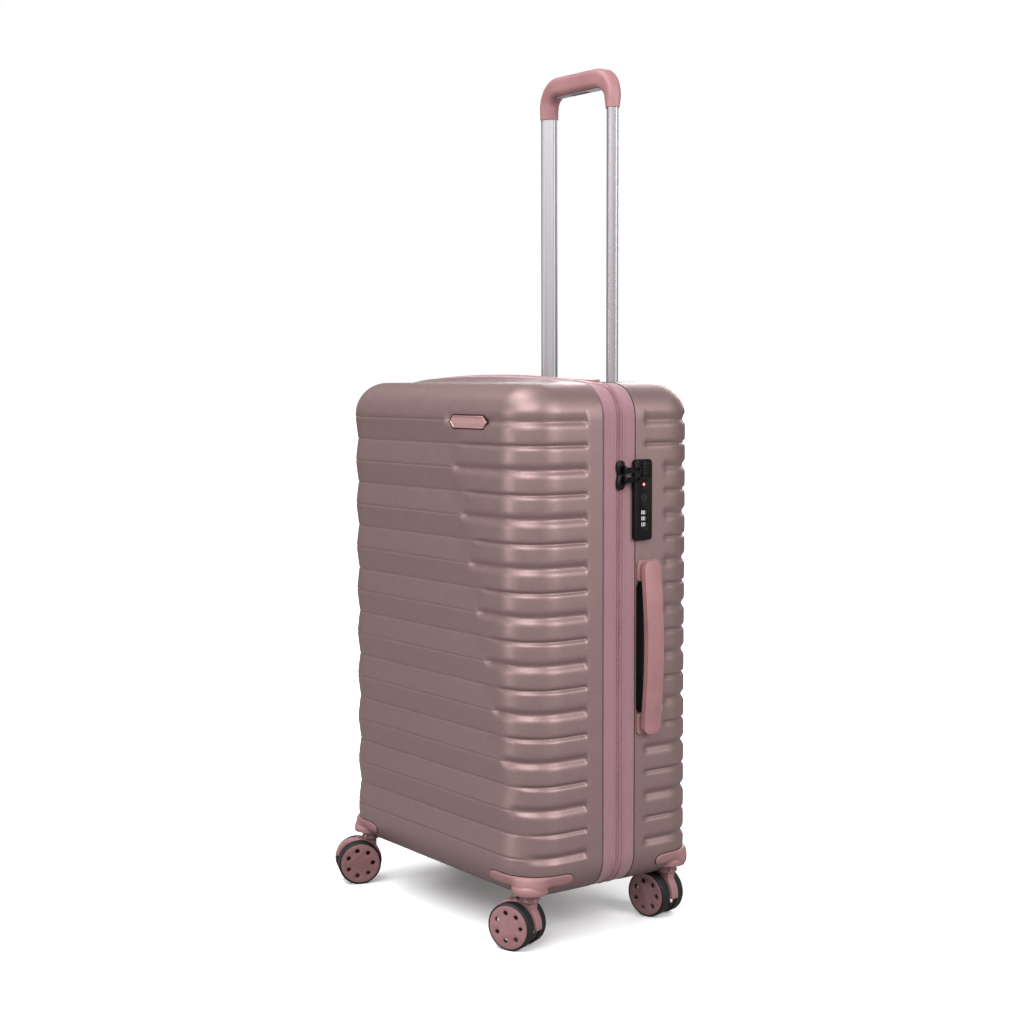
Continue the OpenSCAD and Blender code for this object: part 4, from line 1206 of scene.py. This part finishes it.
def guard_boss(name, x, y):
    """Round boss that carries the swivel: a cup with a thin lip round the fork and a crowned top."""
    profile = ((5.0, BOSS_Z + 0.2), (20.3, BOSS_Z + 0.2), (20.4, BOSS_LIP + 0.3), (20.7, BOSS_LIP),
               (21.7, BOSS_LIP), (BOSS_R, BOSS_LIP + 0.3), (BOSS_R, 75.0), (21.4, 77.0), (20.0, 79.0),
               (14.0, BOSS_TOP), (8.0, 86.0), (5.0, 86.3))
    rings = [[(px, py, z) for px, py in circle(x, y, r, 64)] for r, z in profile]
    return solid(name, *loft(rings), 50)


def base_plate(name, x, y):
    """Fixing plate inside the shell, cut off where it would meet the wall."""
    z = ZB + 5.3
    lean = math.sqrt(1 - ((ZB + EDGE_R - z) / EDGE_R) ** 2)
    inset = EDGE_R * (1 - lean) + 3.4
    half_x, half_y, r = HW - inset, HD - inset, max(CORNER_R - inset, 8)
    outline = []
    for a in np.linspace(0, 2 * math.pi, 73)[:-1]:
        reach = PLATE_R
        while reach > 1:
            px, py = abs(x + reach * math.cos(a)), abs(y + reach * math.sin(a))
            dx, dy = max(px - half_x + r, 0), max(py - half_y + r, 0)
            if math.hypot(dx, dy) < r:
                break
            reach -= 0.5
        outline.append((x + reach * math.cos(a), y + reach * math.sin(a)))
    return prism(name, outline, z, z + 2.2)


def make_guards():
    """Corner guards, each a strip, a swivel boss and a plate inside, with a painted shadow line round it: a
    slightly larger dark strip just under the guard's edge.
    """
    for half in ("front", "back"):
        pieces, gap_shade_strips = [], []
        for c in [c for c in CASTERS if c[0] == half[0]]:
            x, y = SWIVELS[c]
            sx, sy = math.copysign(1, x), math.copysign(1, y)
            pieces += [guard_strip(c + "_strip", sx, sy, 0.0, 1.6), guard_boss(c + "_boss", x, y),
                       base_plate(c + "_plate", x, y)]
            # Painted shade: a dark strip a little larger than the guard and just under it shows as a shadow
            # line round the guard's edge.
            gap_shade_strips.append(guard_strip(c + "_gap", sx, sy, 0.9, 0.3))
        guards = join(half + "_corner_guards", pieces)
        place(guards, M_GUARD, half + "_half", "guard", half + "_wheel_bases")
        lines = join(half + "_guard_gap_shade", gap_shade_strips)
        place(lines, M_DARK, half + "_half", "inner_plastic")


# ---- lock prints

# Which of seven strokes make each figure, and each stroke's place (across, up, upright).
SEGMENTS = ("abcdef", "bc", "abged", "abgcd", "fgbc", "afgcd", "afgedc", "abc", "abcdefg", "abcdfg")
STROKES = {"a": (0, 1, 0), "g": (0, 0, 0), "d": (0, -1, 0), "f": (-1, 0.5, 1), "b": (1, 0.5, 1),
           "e": (-1, -0.5, 1), "c": (1, -0.5, 1)}


def digit_ring(name, x, y, z, r):
    """Ten figures printed round a dial that turns on an upright axis."""
    verts, faces = [], []
    wide, tall, line = 1.1, 1.9, 0.34
    for digit, segments in enumerate(SEGMENTS):
        for key in segments:
            u, v, upright = STROKES[key]
            du, dv = (line, tall / 2 + line * 0.6) if upright else (wide + line * 0.6, line)
            faces += brick_faces(len(verts))
            for reach in (r - 0.1, r + 0.07):
                for su, sv in ((-1, -1), (1, -1), (1, 1), (-1, 1)):
                    a = math.radians(digit * 36) + (u * wide + su * du) / r
                    verts.append((x + reach * math.cos(a), y + reach * math.sin(a), z + v * tall + sv * dv))
    return solid(name, verts, faces, 30)


def diamond(name, z, x0, x1, half, material):
    """Diamond of the lock's lamp, from x0 out to x1."""
    outline = [(LAMP_Y - half, z), (LAMP_Y, z - half), (LAMP_Y + half, z), (LAMP_Y, z + half)]
    rings = [[(x, a, b) for a, b in outline] for x in (x0, x1)]
    rings.append([(x1 + 0.1, LAMP_Y + (a - LAMP_Y) * 0.8, z + (b - z) * 0.8) for a, b in outline])
    place(solid(name, *loft(rings), 30), material, "back_half", "lock_black")


def make_lock_prints():
    """Figures on the dials and the small red and white lamp of the lock."""
    for k in (1, 2, 3):
        low, high = case_box("lock_dial_%d" % k)
        ring = digit_ring("dial_%d_figures" % k, *middle_of("lock_dial_%d" % k), (high[0] - low[0]) / 2)
        place(ring, M_PRINT, "dial_%d" % k, "dial")
    low, high = case_box("lock_case")
    lamp_z = low[2] + LAMP_RISE
    diamond("lock_lamp_frame", lamp_z, high[0] - 0.9, high[0] + 0.1, 3.0, M_RED)
    diamond("lock_lamp", lamp_z, high[0] - 0.4, high[0] + 0.2, 1.5, M_PRINT)


# ---- build

make_camera()
make_studio()
make_front_shell()
make_back_shell()
make_band(True)
make_band(False)
pocket_tray("side")
pocket_tray("top")
make_hinge()
make_linings()
make_divider()
make_straps()
make_hardware()
make_guards()
make_pull_grip()
make_lock_prints()
make_badge()
keep_nodes()
